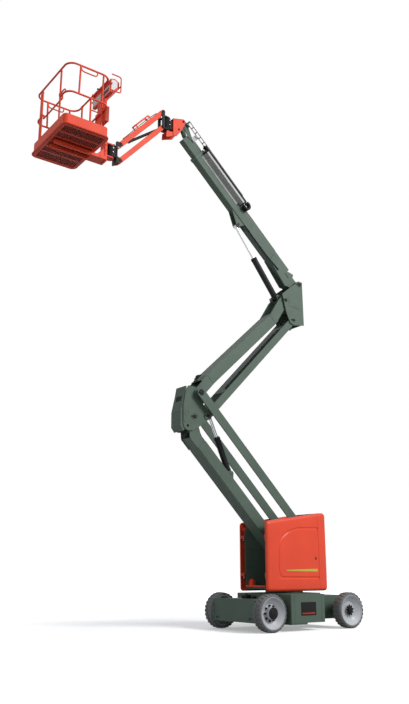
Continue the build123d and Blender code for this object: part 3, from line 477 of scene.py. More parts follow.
def front_hub(bm, side):
    """Hub cap flush with the sidewall, and long nuts on the disc behind it."""
    out = (0, side, 0)
    cap = [(0, 0.0965), (0.003, 0.095), (0.0035, 0.062), (0.006, 0.058), (0.0065, 0)]
    add_turned(bm, (AXLE_X, side * (TYRE_FACE - 0.004), WHEEL_Z), out, cap, 40)
    for angle in turns(WHEEL_BOLTS):
        spot = wheel_point(AXLE_X, side * FRONT_DISC_FACE, FRONT_BOLT_CIRCLE, angle)
        add_turned(bm, spot, out, [(0, 0.017), (0.028, 0.016), (0.034, 0.011)], 6)


def rear_hub(bm, side):
    """Toothed flange with a bolt on each tooth, and a round cap in its middle."""
    out = (0, side, 0)
    inner = side * (TYRE_FACE - REAR_FLANGE_INSET)
    outer = inner + side * REAR_FLANGE_THICK
    teeth = len(FLANGE_TEETH)
    rim = [(FLANGE_TEETH[k % teeth], angle) for k, angle in enumerate(turns(teeth * WHEEL_BOLTS))]
    add_loft(bm, [[wheel_point(-AXLE_X, y, radius, angle) for radius, angle in rim] for y in (inner, outer)])
    cap = [(0, 0.052), (0.014, 0.050), (0.020, 0.040), (0.021, 0)]
    add_turned(bm, (-AXLE_X, outer, WHEEL_Z), out, cap, 32)
    for angle in turns(WHEEL_BOLTS, 0.5 / teeth):
        add_bolt(bm, wheel_point(-AXLE_X, outer, REAR_BOLT_CIRCLE, angle), out, 0.008)


for side, word in SIDE_WORDS:
    for end, x in (("front", AXLE_X), ("rear", -AXLE_X)):
        tyre = f"tyre_{end}_{word}"
        piece(f"lugged_{tyre}", tyre_mesh, f"{end}_wheel_{word}", "tyre_grey", x, side, replaced=[tyre])
    piece(f"hub_front_{word}", front_hub, f"front_wheel_{word}", "black_plastic", side)
    piece(f"hub_rear_{word}", rear_hub, f"rear_wheel_{word}", "black_plastic", side)


# ---------------- chassis
SIDE_BOX_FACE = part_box("side_boxes")[1][1]
PLATE_X, PLATE_Z = (-0.070, 0.270), (0.246, 0.458)
PLATE_FACE = SIDE_BOX_FACE + 0.0035
SLEW_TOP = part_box("slew_ring")[1][2]


def side_plate(bm):
    """Blank plate on the left side box, riveted at its corners."""
    add_box(bm, PLATE_X, (SIDE_BOX_FACE - 0.0005, PLATE_FACE), PLATE_Z, bevel=0.0015)
    for x in (PLATE_X[0] + 0.015, PLATE_X[1] - 0.015):
        for z in (PLATE_Z[0] + 0.016, PLATE_Z[1] - 0.016):
            add_rod(bm, (x, PLATE_FACE, z), (x, PLATE_FACE + 0.002, z), 0.005, 10)


def side_plate_band(bm):
    band = (PLATE_X[0] + 0.025, PLATE_X[1] - 0.025)
    add_box(bm, band, (PLATE_FACE - 0.0001, PLATE_FACE + 0.0009), (0.268, 0.292))


def chassis_seams(bm):
    """Beads at the nose's corners, along the deck's foot and on the side boxes."""
    for side in SIDES:
        add_seam(bm, side * 0.548, [(1.1202, 0.155), (1.1202, 0.505)])
        add_seam(bm, side * 0.552, [(0.600, 0.160), (0.600, 0.500)])
        add_seam(bm, side * 0.332, [(-0.28, 0.588), (0.49, 0.588)])
        for x in (-0.20, 0.41):
            add_seam(bm, side * (SIDE_BOX_FACE + 0.0002), [(x, 0.135), (x, 0.580)], 0.003)


def chassis_bolts(bm):
    for angle in turns(20):
        add_bolt(bm, (0.302 * math.cos(angle), 0.302 * math.sin(angle), SLEW_TOP - 0.0005), UP, 0.0035)


def deck_items(bm):
    """Small valve blocks on the nose, in front of the slewing ring."""
    deck = 0.505
    add_box(bm, (0.70, 0.80), (-0.20, -0.06), (deck, 0.560), bevel=0.006)
    add_box(bm, (0.72, 0.78), (0.02, 0.10), (deck, 0.545), bevel=0.006)
    add_rod(bm, (0.75, -0.13, 0.560), (0.75, -0.13, 0.585), 0.016, 14, edge=0.003)


piece("side_plate", side_plate, "chassis", "black_plastic")
piece("side_plate_band", side_plate_band, "chassis", "red_dark")
piece("chassis_seams", chassis_seams, "chassis", "weld")
piece("chassis_bolts", chassis_bolts, "chassis", "dark_metal")
piece("deck_items", deck_items, "chassis", "dark_metal")


# ---------------- covers and hood
COVER_LOW, COVER_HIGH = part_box("side_cover_left")
SEAM_X, COVER_FRONT = COVER_LOW[0], COVER_HIGH[0]  # the seam is where covers and hood meet
COVER_BOTTOM, COVER_FACE = COVER_LOW[2], COVER_HIGH[1]
HOOD_REAR, HOOD_FRONT = (corner[0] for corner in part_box("rear_hood"))
FRONT_TOP, TOP_RISE = 1.783, 0.200  # the top's height in front, and its rise to the rear
HINGE_X, HINGE_Y = anchors["cover_left"].x, anchors["cover_left"].y
HINGE_LEVELS = (0.860, 1.500)
SQUARE = 0.0005  # radius of a corner that stays square
CORNER_STEPS = 7
EDGE_ROUND = 0.050
# (lateral position, inset of the outline) round the outer edge
COVER_PROFILE = [
    (COVER_FACE - EDGE_ROUND * (1 - math.sin(t)), EDGE_ROUND * (1 - math.cos(t)))
    for t in (math.pi / 2 * k / 6 for k in range(6, -1, -1))
]
# (inset of the door's outline, depth below the face) across the groove round the door
DOOR_GROOVE = ((0.046, 0.0007), (0.042, 0.0007), (0.030, 0.0100), (0.014, 0.0108), (0.0, 0.0), (-0.003, 0.0))
DOOR_CENTRE = Vector((-0.10, 1.25))
# (lateral position, inset of the outline) on the inner side
INNER_SKIN = ((0.346, 0.014), (0.358, 0.030), (0.366, 0.060))
FLANGE = 0.013
BOTTOM_RIM, FRONT_RIM, TOP_RIM = 0.345, 0.335, 0.300  # lateral positions of the flanges' free edges


def cover_top(x):
    """Height of the covers' slanted top."""
    return FRONT_TOP + TOP_RISE * (COVER_FRONT - x) / (COVER_FRONT - HOOD_REAR)


def rounded(corners):
    """Closed outline from (x, z, radius, pieces of the edge that follows) corners."""
    points = []
    for k, (x, z, radius, pieces) in enumerate(corners):
        spot = Vector((x, z))
        before = (Vector(corners[k - 1][:2]) - spot).normalized()
        next_x, next_z, next_radius, _ = corners[(k + 1) % len(corners)]
        after = (Vector((next_x, next_z)) - spot).normalized()
        first, last = spot + before * radius, spot + after * radius
        for n in range(CORNER_STEPS):
            t = n / (CORNER_STEPS - 1)
            points.append(first * (1 - t) ** 2 + spot * 2 * t * (1 - t) + last * t * t)
        goal = Vector((next_x, next_z)) - after * next_radius
        points.extend(last.lerp(goal, n / pieces) for n in range(1, pieces))
    return points


def ray_ring(points, centre, polygon):
    """Where the rays from the centre through the points meet a convex polygon."""
    ring = []
    for point in points:
        ray = point - centre
        reach = []
        for a, b in zip(polygon, polygon[1:] + polygon[:1]):
            edge = b - a
            cross = ray.x * edge.y - ray.y * edge.x
            if abs(cross) > 1e-12:
                away = a - centre
                t = (away.x * edge.y - away.y * edge.x) / cross
                if t > 0:
                    reach.append(t)
        ring.append(centre + ray * min(reach))
    return ring


def door_outline(inset):
    """Outline of the door panel; its rear runs into the seam."""
    rear = SEAM_X + 0.001 + inset * 0.05
    return rounded([
        (rear, 1.713 - inset, SQUARE, 2),
        (0.000, 1.701 - inset, 0.10, 2),
        (0.300 - inset * 0.7, 1.612 - inset, 0.12, 2),
        (0.445 - inset, 1.455 - inset * 0.5, 0.12, 2),
        (0.475 - inset, 0.974, 0.09, 2),
        (0.425 - inset, 0.826 + inset, 0.06, 2),
        (rear, 0.821 + inset, SQUARE, 2),
    ])


def cover_outline(inset):
    """Outline of a cover; only its front corners are round."""
    front, low, radius = COVER_FRONT - inset, COVER_BOTTOM + inset, 0.055 - inset * 0.4
    return rounded([
        (SEAM_X, cover_top(SEAM_X) - inset, SQUARE, 44),
        (front, cover_top(COVER_FRONT) - inset, radius, 40),
        (front, low, radius, 44),
        (SEAM_X, low, SQUARE, 56),
    ])


def hood_outline(inset):
    """Outline of a hood's end; only its rear corners are round."""
    rear, low = HOOD_REAR + inset, COVER_BOTTOM + inset
    return rounded([
        (rear, cover_top(HOOD_REAR) - inset, 0.090 - inset, 8),
        (HOOD_FRONT, cover_top(HOOD_FRONT) - inset, SQUARE, 12),
        (HOOD_FRONT, low, SQUARE, 8),
        (rear, low, 0.070 - inset, 12),
    ])


def rim(point):
    """Lateral position of the free edge of the flange that a point is on."""
    if point.y < 0.66:
        return BOTTOM_RIM
    return FRONT_RIM if point.x > 0.64 else TOP_RIM


def soft_cover(bm, side):
    """Moulded cover: rounded edges, a door panel framed by a soft groove, and two hinge eyes."""
    edge = cover_outline(EDGE_ROUND)
    rings = [[(q, COVER_FACE - depth) for q in ray_ring(edge, DOOR_CENTRE, door_outline(inset))]
             for inset, depth in DOOR_GROOVE]
    rings += [[(q, y) for q in cover_outline(inset)] for y, inset in COVER_PROFILE]
    rings += [[(q, rim(q)) for q in cover_outline(inset)] for inset in (0.0, FLANGE)]
    rings += [[(q, y) for q in cover_outline(inset)] for y, inset in INNER_SKIN]
    add_loft(bm, [[Vector((q.x, side * y, q.y)) for q, y in ring] for ring in rings])
    rear, front, low, skin = -0.500, 0.600, 1.735, 0.008
    roof = [(rear, low), (front, low), (front, cover_top(front) - skin), (rear, cover_top(rear) - skin)]
    add_plate(bm, roof, flank(side, 0.301, 0.313))
    for level in HINGE_LEVELS:
        add_box(bm, (HINGE_X, HINGE_X + 0.026), flank(side, HINGE_Y, 0.347), (level + 0.012, level + 0.058))
        foot = Vector((HINGE_X, side * HINGE_Y, level))
        add_rod(bm, foot, foot + Vector((0, 0, 0.070)), 0.015, 20)


def soft_hood(bm):
    """Rounded ends of the rear moulding and the panel that joins them."""
    inner, thick = 0.300, 0.016
    for side in SIDES:
        rings = [*COVER_PROFILE, (inner - 0.001, 0.0)]
        add_loft(bm, [[Vector((q.x, side * y, q.y)) for q in hood_outline(inset)] for y, inset in rings])
    back = sorted((q for q in hood_outline(0.0) if q.x < -0.640), key=lambda q: q.y)
    for a, b in zip(back, back[1:]):
        if b.y - a.y > 1e-4:
            add_plate(bm, [(a.x, a.y), (b.x, b.y), (b.x + thick, b.y), (a.x + thick, a.y)], (-inner, inner))


def cover_latch(bm, side):
    """Latch plate with a round knob and its thin tab."""
    face, middle = side * COVER_FACE, -0.427
    add_box(bm, about(middle, 0.015), about(face - side * 0.0015, 0.003), (1.150, 1.196), bevel=0.002)
    knob = (middle, face + side * 0.0015, 1.178)
    add_rod(bm, knob, (middle, face + side * 0.0055, 1.178), 0.009, 16, edge=0.001)
    add_box(bm, about(middle, 0.0015), about(face + side * 0.0045, 0.0015), (1.157, 1.178))


def cover_stripe(bm):
    """Plain stripe along the left cover's side, tapered towards the front."""
    outline = [(-0.458, 0.950), (0.278, 0.962), (0.262, 0.976), (-0.458, 0.993)]
    add_plate(bm, outline, (COVER_FACE - 0.0005, COVER_FACE + 0.0008))


def cover_hinges(bm, side):
    """Two leaves and the pin's lower end at each hinge."""
    for level in HINGE_LEVELS:
        leaf = (level + 0.010, level + 0.060)
        add_box(bm, (HINGE_X - 0.008, HINGE_X - 0.0005), about(side * 0.318, 0.016), leaf, bevel=0.002)
        pin_x, pin_y = HINGE_X, side * HINGE_Y
        add_rod(bm, (pin_x, pin_y, level - 0.016), (pin_x, pin_y, level - 0.024), 0.013, 16)
        leaf = (level + 0.004, level + 0.066)
        add_box(bm, (HINGE_X + 0.012, HINGE_X + 0.038), flank(side, 0.3315, 0.3345), leaf, bevel=0.0012)


for side, word in SIDE_WORDS:
    body = f"cover_{word}"
    piece(f"soft_cover_{word}", soft_cover, body, "red_covers", side, replaced=[f"side_cover_{word}"])
piece("soft_hood", soft_hood, "turret", "red_covers", replaced=["rear_hood"])
for side, word in SIDE_WORDS:
    piece(f"cover_latch_{word}", cover_latch, f"cover_{word}", "dark_metal", side)
    piece(f"cover_hinges_{word}", cover_hinges, f"cover_{word}", "bare_steel", side)
piece("cover_stripe", cover_stripe, "cover_left", "stripe_green")


# ---------------- turret
def turret_seams(bm):
    """Beads on both faces of the turret's side plates."""
    for side in SIDES:
        for face in (0.2745, 0.2915):
            add_seam(bm, side * face, [(-0.60, 1.34), (0.638, 1.34)])
            add_seam(bm, side * face, [(0.30, 0.70), (0.42, 1.02), (0.638, 1.02)])
        add_seam(bm, side * 0.273, [(-0.60, 0.694), (0.61, 0.694)], 0.005)


def turret_pins(bm):
    for side in SIDES:
        for name, radius in (("riser", 0.035), ("riser_links", 0.030)):
            add_cap(bm, anchors[name].x, 0.281, anchors[name].z, side, radius, 0.007, 24)


def mouth_base(bm):
    """Black base of the emergency pump behind the sill."""
    add_box(bm, (0.500, 0.598), (-0.261, -0.020), (0.691, 0.716), bevel=0.003)


def mouth_sill(bm):
    """Sill across the turret's mouth, with the small pump housing behind it."""
    add_box(bm, (0.600, 0.655), (-0.262, 0.262), (0.692, 0.720), bevel=0.004)
    add_box(bm, (0.522, 0.590), (-0.258, -0.153), (0.717, 0.800), bevel=0.007)
    add_box(bm, (0.532, 0.580), (-0.235, -0.175), (0.800, 0.826), bevel=0.005)
    for y in (-0.238, -0.173):
        add_bolt(bm, (0.590, y, 0.758), FORWARD, 0.006)


piece("turret_seams", turret_seams, "turret", "weld")
piece("turret_pins", turret_pins, "turret", "dark_metal")
piece("mouth_base", mouth_base, "turret", "black_plastic")
piece("mouth_sill", mouth_sill, "turret", "red_paint", replaced=["front_sill"])


# ---------------- riser
ARM1_FLANK = 0.1385
KNUCKLE_FLANK, KNUCKLE_NOSE = 0.158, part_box("mid_knuckle")[1][0]
UPRIGHT_FLANK, UPRIGHT_BACK = 0.1965, -0.533


def pin_cap(bm, pin, y, side, radius):
    """Round pin end with a keeper bar and its bolt."""
    spot = Vector((pin.x, side * y, pin.z))
    out = Vector((0, side, 0))
    dish = [(0, radius), (0.004, radius - 0.002), (0.0045, radius * 0.45), (0.001, radius * 0.4), (0.001, 0)]
    add_turned(bm, spot, out, dish, 28)
    bar, thick = spot.x + radius * 0.7, 0.006
    add_box(bm, (bar, bar + 0.045), flank(side, y, y + thick), about(spot.z, 0.010))
    add_bolt(bm, spot + Vector((radius * 0.7 + 0.034, side * thick, 0)), out, 0.0055)


def arm1_trim(bm):
    for side in SIDES:
        for z in (-0.302, -0.102):
            add_seam(bm, side * 0.130, [(0.30, z), (3.0, z)], 0.0035, ARM1)
        y = side * ARM1_FLANK
        add_seam(bm, y, [(3.018, -0.137), (3.018, -0.316)], place=ARM1)
        add_seam(bm, y, [(3.018, -0.137), (3.175, -0.100), (3.280, -0.046)], place=ARM1)
        add_seam(bm, y, [(0.44, -0.100), (0.44, -0.306)], place=ARM1)


def link1_pins(bm):
    collar = [(0, 0.056), (0.004, 0.054), (0.0045, 0.031)]
    for side in SIDES:
        for x in (0.0, (anchors["riser_knuckle"] - anchors["riser"]).length):
            add_turned(bm, (x, side * 0.262, 0), (0, side, 0), collar, 30, LINKS1)


def knuckle_trim(bm):
    """Welded rings, bead lines and the folded nose's bands."""
    for side in SIDES:
        y = side * KNUCKLE_FLANK
        add_ring_seam(bm, 2.214, y, 3.522, 0.041, 30)
        add_ring_seam(bm, 2.050, y, 3.484, 0.062, 36)
        add_seam(bm, y, [(1.86, 3.72), (1.93, 3.90), (2.02, 4.00), (2.16, 4.00)])
        add_seam(bm, y, [(2.240, 3.36), (2.282, 3.40), (2.284, 3.66), (2.236, 3.90)], 0.005)
        add_seam(bm, side * 0.1575, [(1.70, 3.49), (1.80, 3.44), (1.96, 3.32), (2.10, 3.235)])
    for band in ((3.395, 3.425), (3.545, 3.560)):
        add_box(bm, (KNUCKLE_NOSE - 0.0025, KNUCKLE_NOSE + 0.0035), (-0.130, 0.130), band, bevel=0.002)


def knuckle_pins(bm):
    for side in SIDES:
        pin_cap(bm, anchors["riser_knuckle"], 0.166, side, 0.035)
        pin_cap(bm, anchors["riser_upper"], 0.274, side, 0.030)
        pin_cap(bm, anchors["riser_upper_link"], 0.181, side, 0.026)
        add_bolt(bm, (2.190, side * KNUCKLE_FLANK, 3.316), (0, side, 0), 0.016)


def nose_slot_shade(bm):
    """Black sheet high in the knuckle's nose: painted shade standing for the dark inside of the slot where
    the hoses enter.
    """
    add_plate(bm, [(2.291, 3.720), (2.268, 3.830), (2.2655, 3.829), (2.2885, 3.719)], (-0.085, 0.085))


def arm2_trim(bm):
    """Beads of the upper arm, whose section leans a little."""
    lean = ARM2 @ Matrix.Translation((0, 0, -0.118)) @ Matrix.Rotation(math.radians(-2.9), 4, "Y")
    for side in SIDES:
        for z in (-0.101, 0.101):
            add_seam(bm, side * 0.153, [(0.56, z), (2.60, z)], 0.0035, lean)
        add_seam(bm, side * 0.1765, [(2.585, 0.108), (2.585, -0.082)], place=ARM2)
        add_seam(bm, side * 0.1570, [(0.540, 0.0), (0.528, -0.185)], place=ARM2)


def rubber_stop(bm):
    add_box(bm, (2.590, 2.700), (-0.052, 0.052), (0.148, 0.172), ARM2, 0.008)
    add_rod(bm, (2.645, 0.0, 0.170), (2.645, 0.0, 0.190), 0.034, 20, ARM2, 0.006)


def link2_strip(bm):
    """Hose bundle clamped along the upper face of the second link."""
    for y in (0.10, 0.125, 0.15):
        knots = [(0.42, y, 0.078), (0.95, y, 0.077), (1.60, y + 0.004, 0.078), (2.25, y, 0.077)]
        add_hose(bm, knots, 0.0095, LINK2)
    for x in (0.55, 0.95, 1.35, 1.75, 2.15):
        add_box(bm, (x, x + 0.030), (0.085, 0.165), (0.066, 0.091), LINK2, 0.003)


def upright_trim(bm):
    heel = anchors["luff"]
    for side in SIDES:
        y = side * UPRIGHT_FLANK
        add_seam(bm, y, [(-0.169, 6.125), (-0.161, 5.919), (-0.420, 5.899)], 0.005)
        add_ring_seam(bm, heel.x, y, heel.z, 0.062, 32)
    for z in (5.62, 6.02, 6.42):
        add_rod(bm, (UPRIGHT_BACK, -0.17, z), (UPRIGHT_BACK, 0.17, z), 0.004, 6)


def upright_pins(bm):
    for side in SIDES:
        pin_cap(bm, anchors["luff"], 0.206, side, 0.038)
        pin_cap(bm, anchors["riser_upright"], 0.204, side, 0.036)
        pin_cap(bm, UPRIGHT_LINK_PIN, 0.204, side, 0.028)


piece("arm1_trim", arm1_trim, "lower_arm", "weld")
piece("link1_pins", link1_pins, "lower_links", "dark_metal")
piece("knuckle_trim", knuckle_trim, "knuckle", "weld")
piece("knuckle_pins", knuckle_pins, "knuckle", "dark_metal")
# a thin black sheet on the nose, painted shade of the slot's interior
piece("nose_slot_shade", nose_slot_shade, "knuckle", "black_plastic")
piece("arm2_trim", arm2_trim, "upper_arm", "weld")
piece("rubber_stop", rubber_stop, "upper_arm", "black_plastic")
piece("link2_strip", link2_strip, "upper_link", "black_plastic")
piece("upright_trim", upright_trim, "upright", "weld")
piece("upright_pins", upright_pins, "upright", "dark_metal")


# ---------------- hydraulic cylinders
CYLINDERS = (  # name, rod's far pin, barrel's radius, barrel's length
    ("riser", Vector((1.640, 0, 3.590)), 0.054, 0.660),
    ("lift", BOOM @ Vector((1.700, 0, -0.278)), 0.058, 0.880),
    ("jib", anchors["jib_end_level"], 0.026, 0.880),
)


def cylinder_trim(bm, pin, far, r, length):
    """Gland and base ring of one barrel of radius r."""
    place = member(pin, bearing(pin, far))
    lip = r + 0.0035
    gland = [(0, r), (0.002, lip), (0.034, lip), (0.038, r), (0.052, r - 0.004), (0.056, r * 0.62)]
    add_turned(bm, (length - 0.040, 0, 0), FORWARD, gland, 32, place)
    ring = [(0, r), (0.003, r + 0.004), (0.018, r + 0.004), (0.022, r)]
    add_turned(bm, (0.060, 0, 0), FORWARD, ring, 32, place)


for name, far, radius, length in CYLINDERS:
    pin = anchors[f"{name}_barrel_tilt"]
    piece(f"{name}_cylinder_trim", cylinder_trim, f"{name}_barrel", "black_plastic", pin, far, radius, length)


# ---------------- main boom
FLY_FLANK = 0.0712
HEEL_FLANK = 0.0845
CHAIN_Y, CHAIN_PITCH = 0.129, 0.0455
CHAIN_RUNS = ((1.925, 3.195, 0.112), (1.925, 3.285, 0.1715))  # (start, end, height) of each run
LOOP_X, LOOP_Z, LOOP_RADIUS, LOOP_LINKS = 1.858, 0.141, 0.068, 9
LOOP_START, LOOP_END = 62, 298  # degrees round the rear loop


def boom_trim(bm):
    """Beads of the outer section, and two pads on its top."""
    for side in SIDES:
        for z in (-0.1335, 0.1335):
            add_seam(bm, side * 0.071, [(0.80, z), (3.140, z)], 0.003, BOOM)
        add_seam(bm, side * 0.0755, [(3.143, -0.131), (3.143, 0.132)], place=BOOM)
        add_seam(bm, side * HEEL_FLANK, [(0.775, -0.135), (0.775, 0.045)], place=BOOM)
        add_seam(bm, side * 0.0615, [(1.62, -0.137), (2.01, -0.137)], place=BOOM)
    for x in (0.95, 1.55):
        add_box(bm, (x, x + 0.05), (-0.045, 0.045), (0.1340, 0.1385), BOOM, 0.0015)


def boom_fittings(bm):
    """Raised strip on the boom's heel, and the ends of the lift cylinder's pin."""
    outline = [(0.225, -0.034), (0.238, -0.040), (0.338, -0.032),
               (0.346, -0.020), (0.338, -0.012), (0.232, -0.020)]
    for side in SIDES:
        add_plate(bm, outline, flank(side, HEEL_FLANK, HEEL_FLANK + 0.0013), BOOM)
        add_cap(bm, 1.70, 0.069, -0.25, side, 0.024, 0.006, 24, BOOM)


def lift_hose(bm):
    """Two hoses clamped along the boom's lower left edge."""
    for y in (0.068, 0.082):
        knots = [(1.60, y - 0.002, -0.144), (1.30, y, -0.150), (0.90, y, -0.146), (0.50, y + 0.024, -0.130)]
        add_hose(bm, knots, 0.0085, BOOM)
    for x in (1.45, 1.05):
        add_box(bm, (x, x + 0.022), (0.058, 0.092), (-0.160, -0.134), BOOM, 0.002)


def fly_trim(bm):
    tip = BOOM.inverted() @ anchors["platform_level"]
    for side in SIDES:
        add_seam(bm, side * FLY_FLANK, [(3.560, 0.02), (3.62, 0.035), (3.76, 0.090)], place=BOOM)
        for z in (-0.1155, 0.1155):
            add_seam(bm, side * 0.057, [(3.24, z), (3.595, z)], 0.003, BOOM)
        add_ring_seam(bm, tip.x, side * FLY_FLANK, tip.z, 0.034, 28, 0.003, BOOM)


def chain_link(bm, middle, along, up, length, height):
    """Two side plates of the cable carrier and the bar between them, at a point of its path."""
    turn = Matrix((along, (0, 1, 0), up)).transposed().to_4x4()
    place = BOOM @ Matrix.Translation(middle) @ turn
    inner, outer = 0.034, 0.0425
    for side in (-1, 1):
        add_box(bm, about(0, length / 2), flank(side, inner, outer), about(0, height / 2), place, 0.002)
    add_box(bm, about(0, length / 2), (-inner, inner), about(0, height / 2 - 0.003), place, 0.001)


def chain_mesh(bm):
    """Cable carrier: links along the two runs and round the rear loop."""
    for start, stop, z in CHAIN_RUNS:
        for k in range(int((stop - start) / CHAIN_PITCH)):
            x = start + CHAIN_PITCH * (k + 0.5)
            chain_link(bm, (x, CHAIN_Y, z), FORWARD, UP, CHAIN_PITCH * 0.96, 0.041)
    for k in range(LOOP_LINKS):
        angle = math.radians(LOOP_START + (LOOP_END - LOOP_START) * k / (LOOP_LINKS - 1))
        out_x, out_z = math.cos(angle), math.sin(angle)
        spot = (LOOP_X + LOOP_RADIUS * out_x, CHAIN_Y, LOOP_Z + LOOP_RADIUS * out_z)
        chain_link(bm, spot, (-out_z, 0, out_x), (out_x, 0, out_z), CHAIN_PITCH * 0.74, 0.037)


def chain_hoses(bm):
    path = [(3.26, 0.1715), (2.60, 0.1715), (1.95, 0.176), (1.86, 0.209), (1.79, 0.141),
            (1.86, 0.073), (1.95, 0.107), (2.60, 0.112), (3.18, 0.112)]
    for y in (0.108, 0.126, 0.148):
        add_hose(bm, [(x, y, z) for x, z in path], 0.0075, BOOM, steps=10)


def tray_clamps(bm):
    """Clamps of the cable tray, each with a bolt and a strap."""
    face = 0.0845
    for x in (2.10, 2.42, 2.74, 3.04):
        add_box(bm, (x, x + 0.050), (face - 0.005, face), (0.020, 0.088), BOOM, 0.002)
        add_bolt(bm, (x + 0.025, face, 0.050), (0, 1, 0), 0.007, BOOM)
        add_box(bm, (x + 0.008, x + 0.042), (0.078, 0.178), (0.0795, 0.0865), BOOM, 0.001)


def rail_brackets(bm):
    """Bolts on the cable rail, and the block that ties it to the fly section."""
    for x in (2.09, 3.44, 3.74):
        for y in (0.091, 0.165):
            add_bolt(bm, (x, y, 0.213), UP, 0.006, BOOM)
    add_box(bm, (3.70, 3.76), (0.070, 0.086), (0.150, 0.200), BOOM, 0.002)


piece("boom_trim", boom_trim, "boom", "weld")
piece("boom_fittings", boom_fittings, "boom", "dark_metal")
piece("lift_hose", lift_hose, "boom", "black_plastic")
piece("fly_trim", fly_trim, "fly", "weld")
piece("chain_links", chain_mesh, "boom", "black_plastic", replaced=["cable_chain"])
piece("chain_hoses", chain_hoses, "boom", "hose_grey")
piece("tray_clamps", tray_clamps, "boom", "pale_metal")
piece("rail_brackets", rail_brackets, "fly", "dark_metal")


# ---------------- jib
ROTATOR_RADIUS = 0.072
PIN_FACE = 0.082  # lateral position of the jib castings' outer faces


def rotator_ribs(bm, x0, low, high):
    """Bolted flanges, cast ribs and tie bolts round a rotary actuator."""
    r = ROTATOR_RADIUS
    flange = [(0, r), (0.002, r + 0.0045), (0.016, r + 0.0045), (0.018, r)]
    for z in (low + 0.004, high - 0.022):
        add_turned(bm, (x0, 0, z), UP, flange, 36)
    rib = [(0, r), (0.003, r + 0.0025), (0.012, r + 0.0025), (0.015, r)]
    for z in (low + 0.060, (low + high) / 2, high - 0.075):
        add_turned(bm, (x0, 0, z), UP, rib, 36)
    for angle in turns(10, 0.5):
        x, y = x0 + (r + 0.0005) * math.cos(angle), (r + 0.0005) * math.sin(angle)
        add_rod(bm, (x, y, low + 0.022), (x, y, high - 0.022), 0.0045, 8)


def rotator_ports(bm, x0, low, high):
    for side in SIDES:
        for z in (low + 0.085, high - 0.050):
            add_rod(bm, (x0 - 0.020, side * 0.068, z), (x0 - 0.020, side * 0.088, z), 0.010, 12, edge=0.001)


def bracket_trim(bm):
    """Pin ends on the boom tip's bracket, and the bolts that hold the actuator."""
    tip, face = anchors["platform_level"], 0.098
    for side in SIDES:
        add_cap(bm, tip.x, face, tip.z, side, 0.024, 0.005, 26)
        add_cap(bm, tip.x + 0.100, face, tip.z - 0.203, side, 0.020, 0.005, 22)
    for y in (-0.075, 0.075):
        for z in (8.88, 8.98, 9.08):
            add_bolt(bm, (tip.x + 0.225, y, z), FORWARD, 0.009)


def jib_guard(bm):
    """Channel guard standing on the upper jib bar."""
    inner, outer, top, foot = 0.050, 0.056, 0.122, 0.046
    outline = [(0.345, foot), (0.345, 0.100), (0.370, top), (0.760, top),
               (0.775, 0.108), (0.775, 0.096), (0.40, 0.096), (0.37, foot)]
    post = (0.735, 0.765)
    for side in SIDES:
        add_plate(bm, outline, flank(side, inner, outer), JIB_TOP_BAR)
        add_box(bm, post, flank(side, inner, outer), (foot - 0.002, 0.110), JIB_TOP_BAR)
    add_box(bm, (0.370, 0.765), (-outer, outer), (top - 0.005, top), JIB_TOP_BAR, 0.0015)
    add_box(bm, post, (-inner, inner), (foot, inner), JIB_TOP_BAR)


def jib_hoses(bm):
    for y in (0.040, 0.052):
        knots = [(0.16, y, 0.052), (0.38, y, 0.064), (0.72, y, 0.064), (1.00, y, 0.054), (1.20, y, 0.052)]
        add_hose(bm, knots, 0.006, JIB_TOP_BAR)


def jib_caps(bm, offset):
    """Pin ends and washers of both jib bars, at the root or at the far end."""
    end = [(0, 0.017), (0.004, 0.0155), (0.005, 0)]
    washer = [(0, 0.026), (0.0025, 0.025), (0.003, 0.018)]
    for name in ("jib_parallel", "jib_luff"):
        pin = anchors[name] + offset
        for side in SIDES:
            out = (0, side, 0)
            add_turned(bm, (pin.x, side * PIN_FACE, pin.z), out, end, 20)
            add_turned(bm, (pin.x, side * (PIN_FACE - 0.004), pin.z), out, washer, 24)


def dress_rotator(name, joint, body):
    """Ribs and ports of an actuator, placed by its node and joint."""
    low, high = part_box(f"{name}_rotator")
    place = (anchors[joint].x, low[2], high[2])
    piece(f"{name}_rotator_ribs", rotator_ribs, body, "dark_metal", *place)
    piece(f"{name}_rotator_ports", rotator_ports, body, "bare_steel", *place)


dress_rotator("jib", "jib_swing", "jib_base")
piece("bracket_trim", bracket_trim, "jib_base", "dark_metal")
piece("jib_guard", jib_guard, "jib_upper", "red_paint")
piece("jib_hoses", jib_hoses, "jib_upper", "black_plastic")
piece("jib_root_caps", jib_caps, "jib_root", "dark_metal", Vector((0, 0, 0)))
piece("jib_end_caps", jib_caps, "jib_end", "dark_metal", JIB_REACH)
dress_rotator("platform", "platform_turn", "jib_end")


# ---------------- platform
RAIL_RADIUS = 0.0115  # of the bent hand loops
CONSOLE_FACE = 4.1315  # the control box's inner face, towards the operator
CONSOLE_TOP = member(Vector((4.090, 0.0, 9.0185)), math.degrees(math.atan2(-0.025, 0.078)))


def support_trim(bm):
    """Lightening holes' rims, gussets and bolts of the platform's bracket."""
    for side in SIDES:
        for x in (4.02, 4.20):
            add_ring_seam(bm, x, side * 0.1105, 7.798, 0.017, 20, 0.0025)
        for z in (7.83, 7.95, 8.06):
            add_bolt(bm, (3.900, side * 0.0905, z), (0, side, 0), 0.009)
        add_plate(bm, [(3.914, 7.829), (4.080, 7.829), (3.914, 8.010)], flank(side, 0.070, 0.078))


def floor_mesh(bm):
    """Cross ribs and flattened mesh of the floor, seen from below."""
    for k in range(25):
        add_box(bm, about(4.190 + 0.0295 * k, 0.004), (-0.572, 0.572), (7.8345, 7.8560), bevel=0.001)
    for k in range(43):
        add_box(bm, (4.182, 4.902), about(-0.546 + 0.026 * k, 0.003), (7.8385, 7.8525))
    edge = (7.842, 7.850)
    for x in (4.128, 4.955):
        add_box(bm, (x - 0.010, x + 0.012), (-0.560, 0.560), edge)
    for side in SIDES:
        add_box(bm, (4.200, 4.885), about(side * 0.632, 0.013), edge)


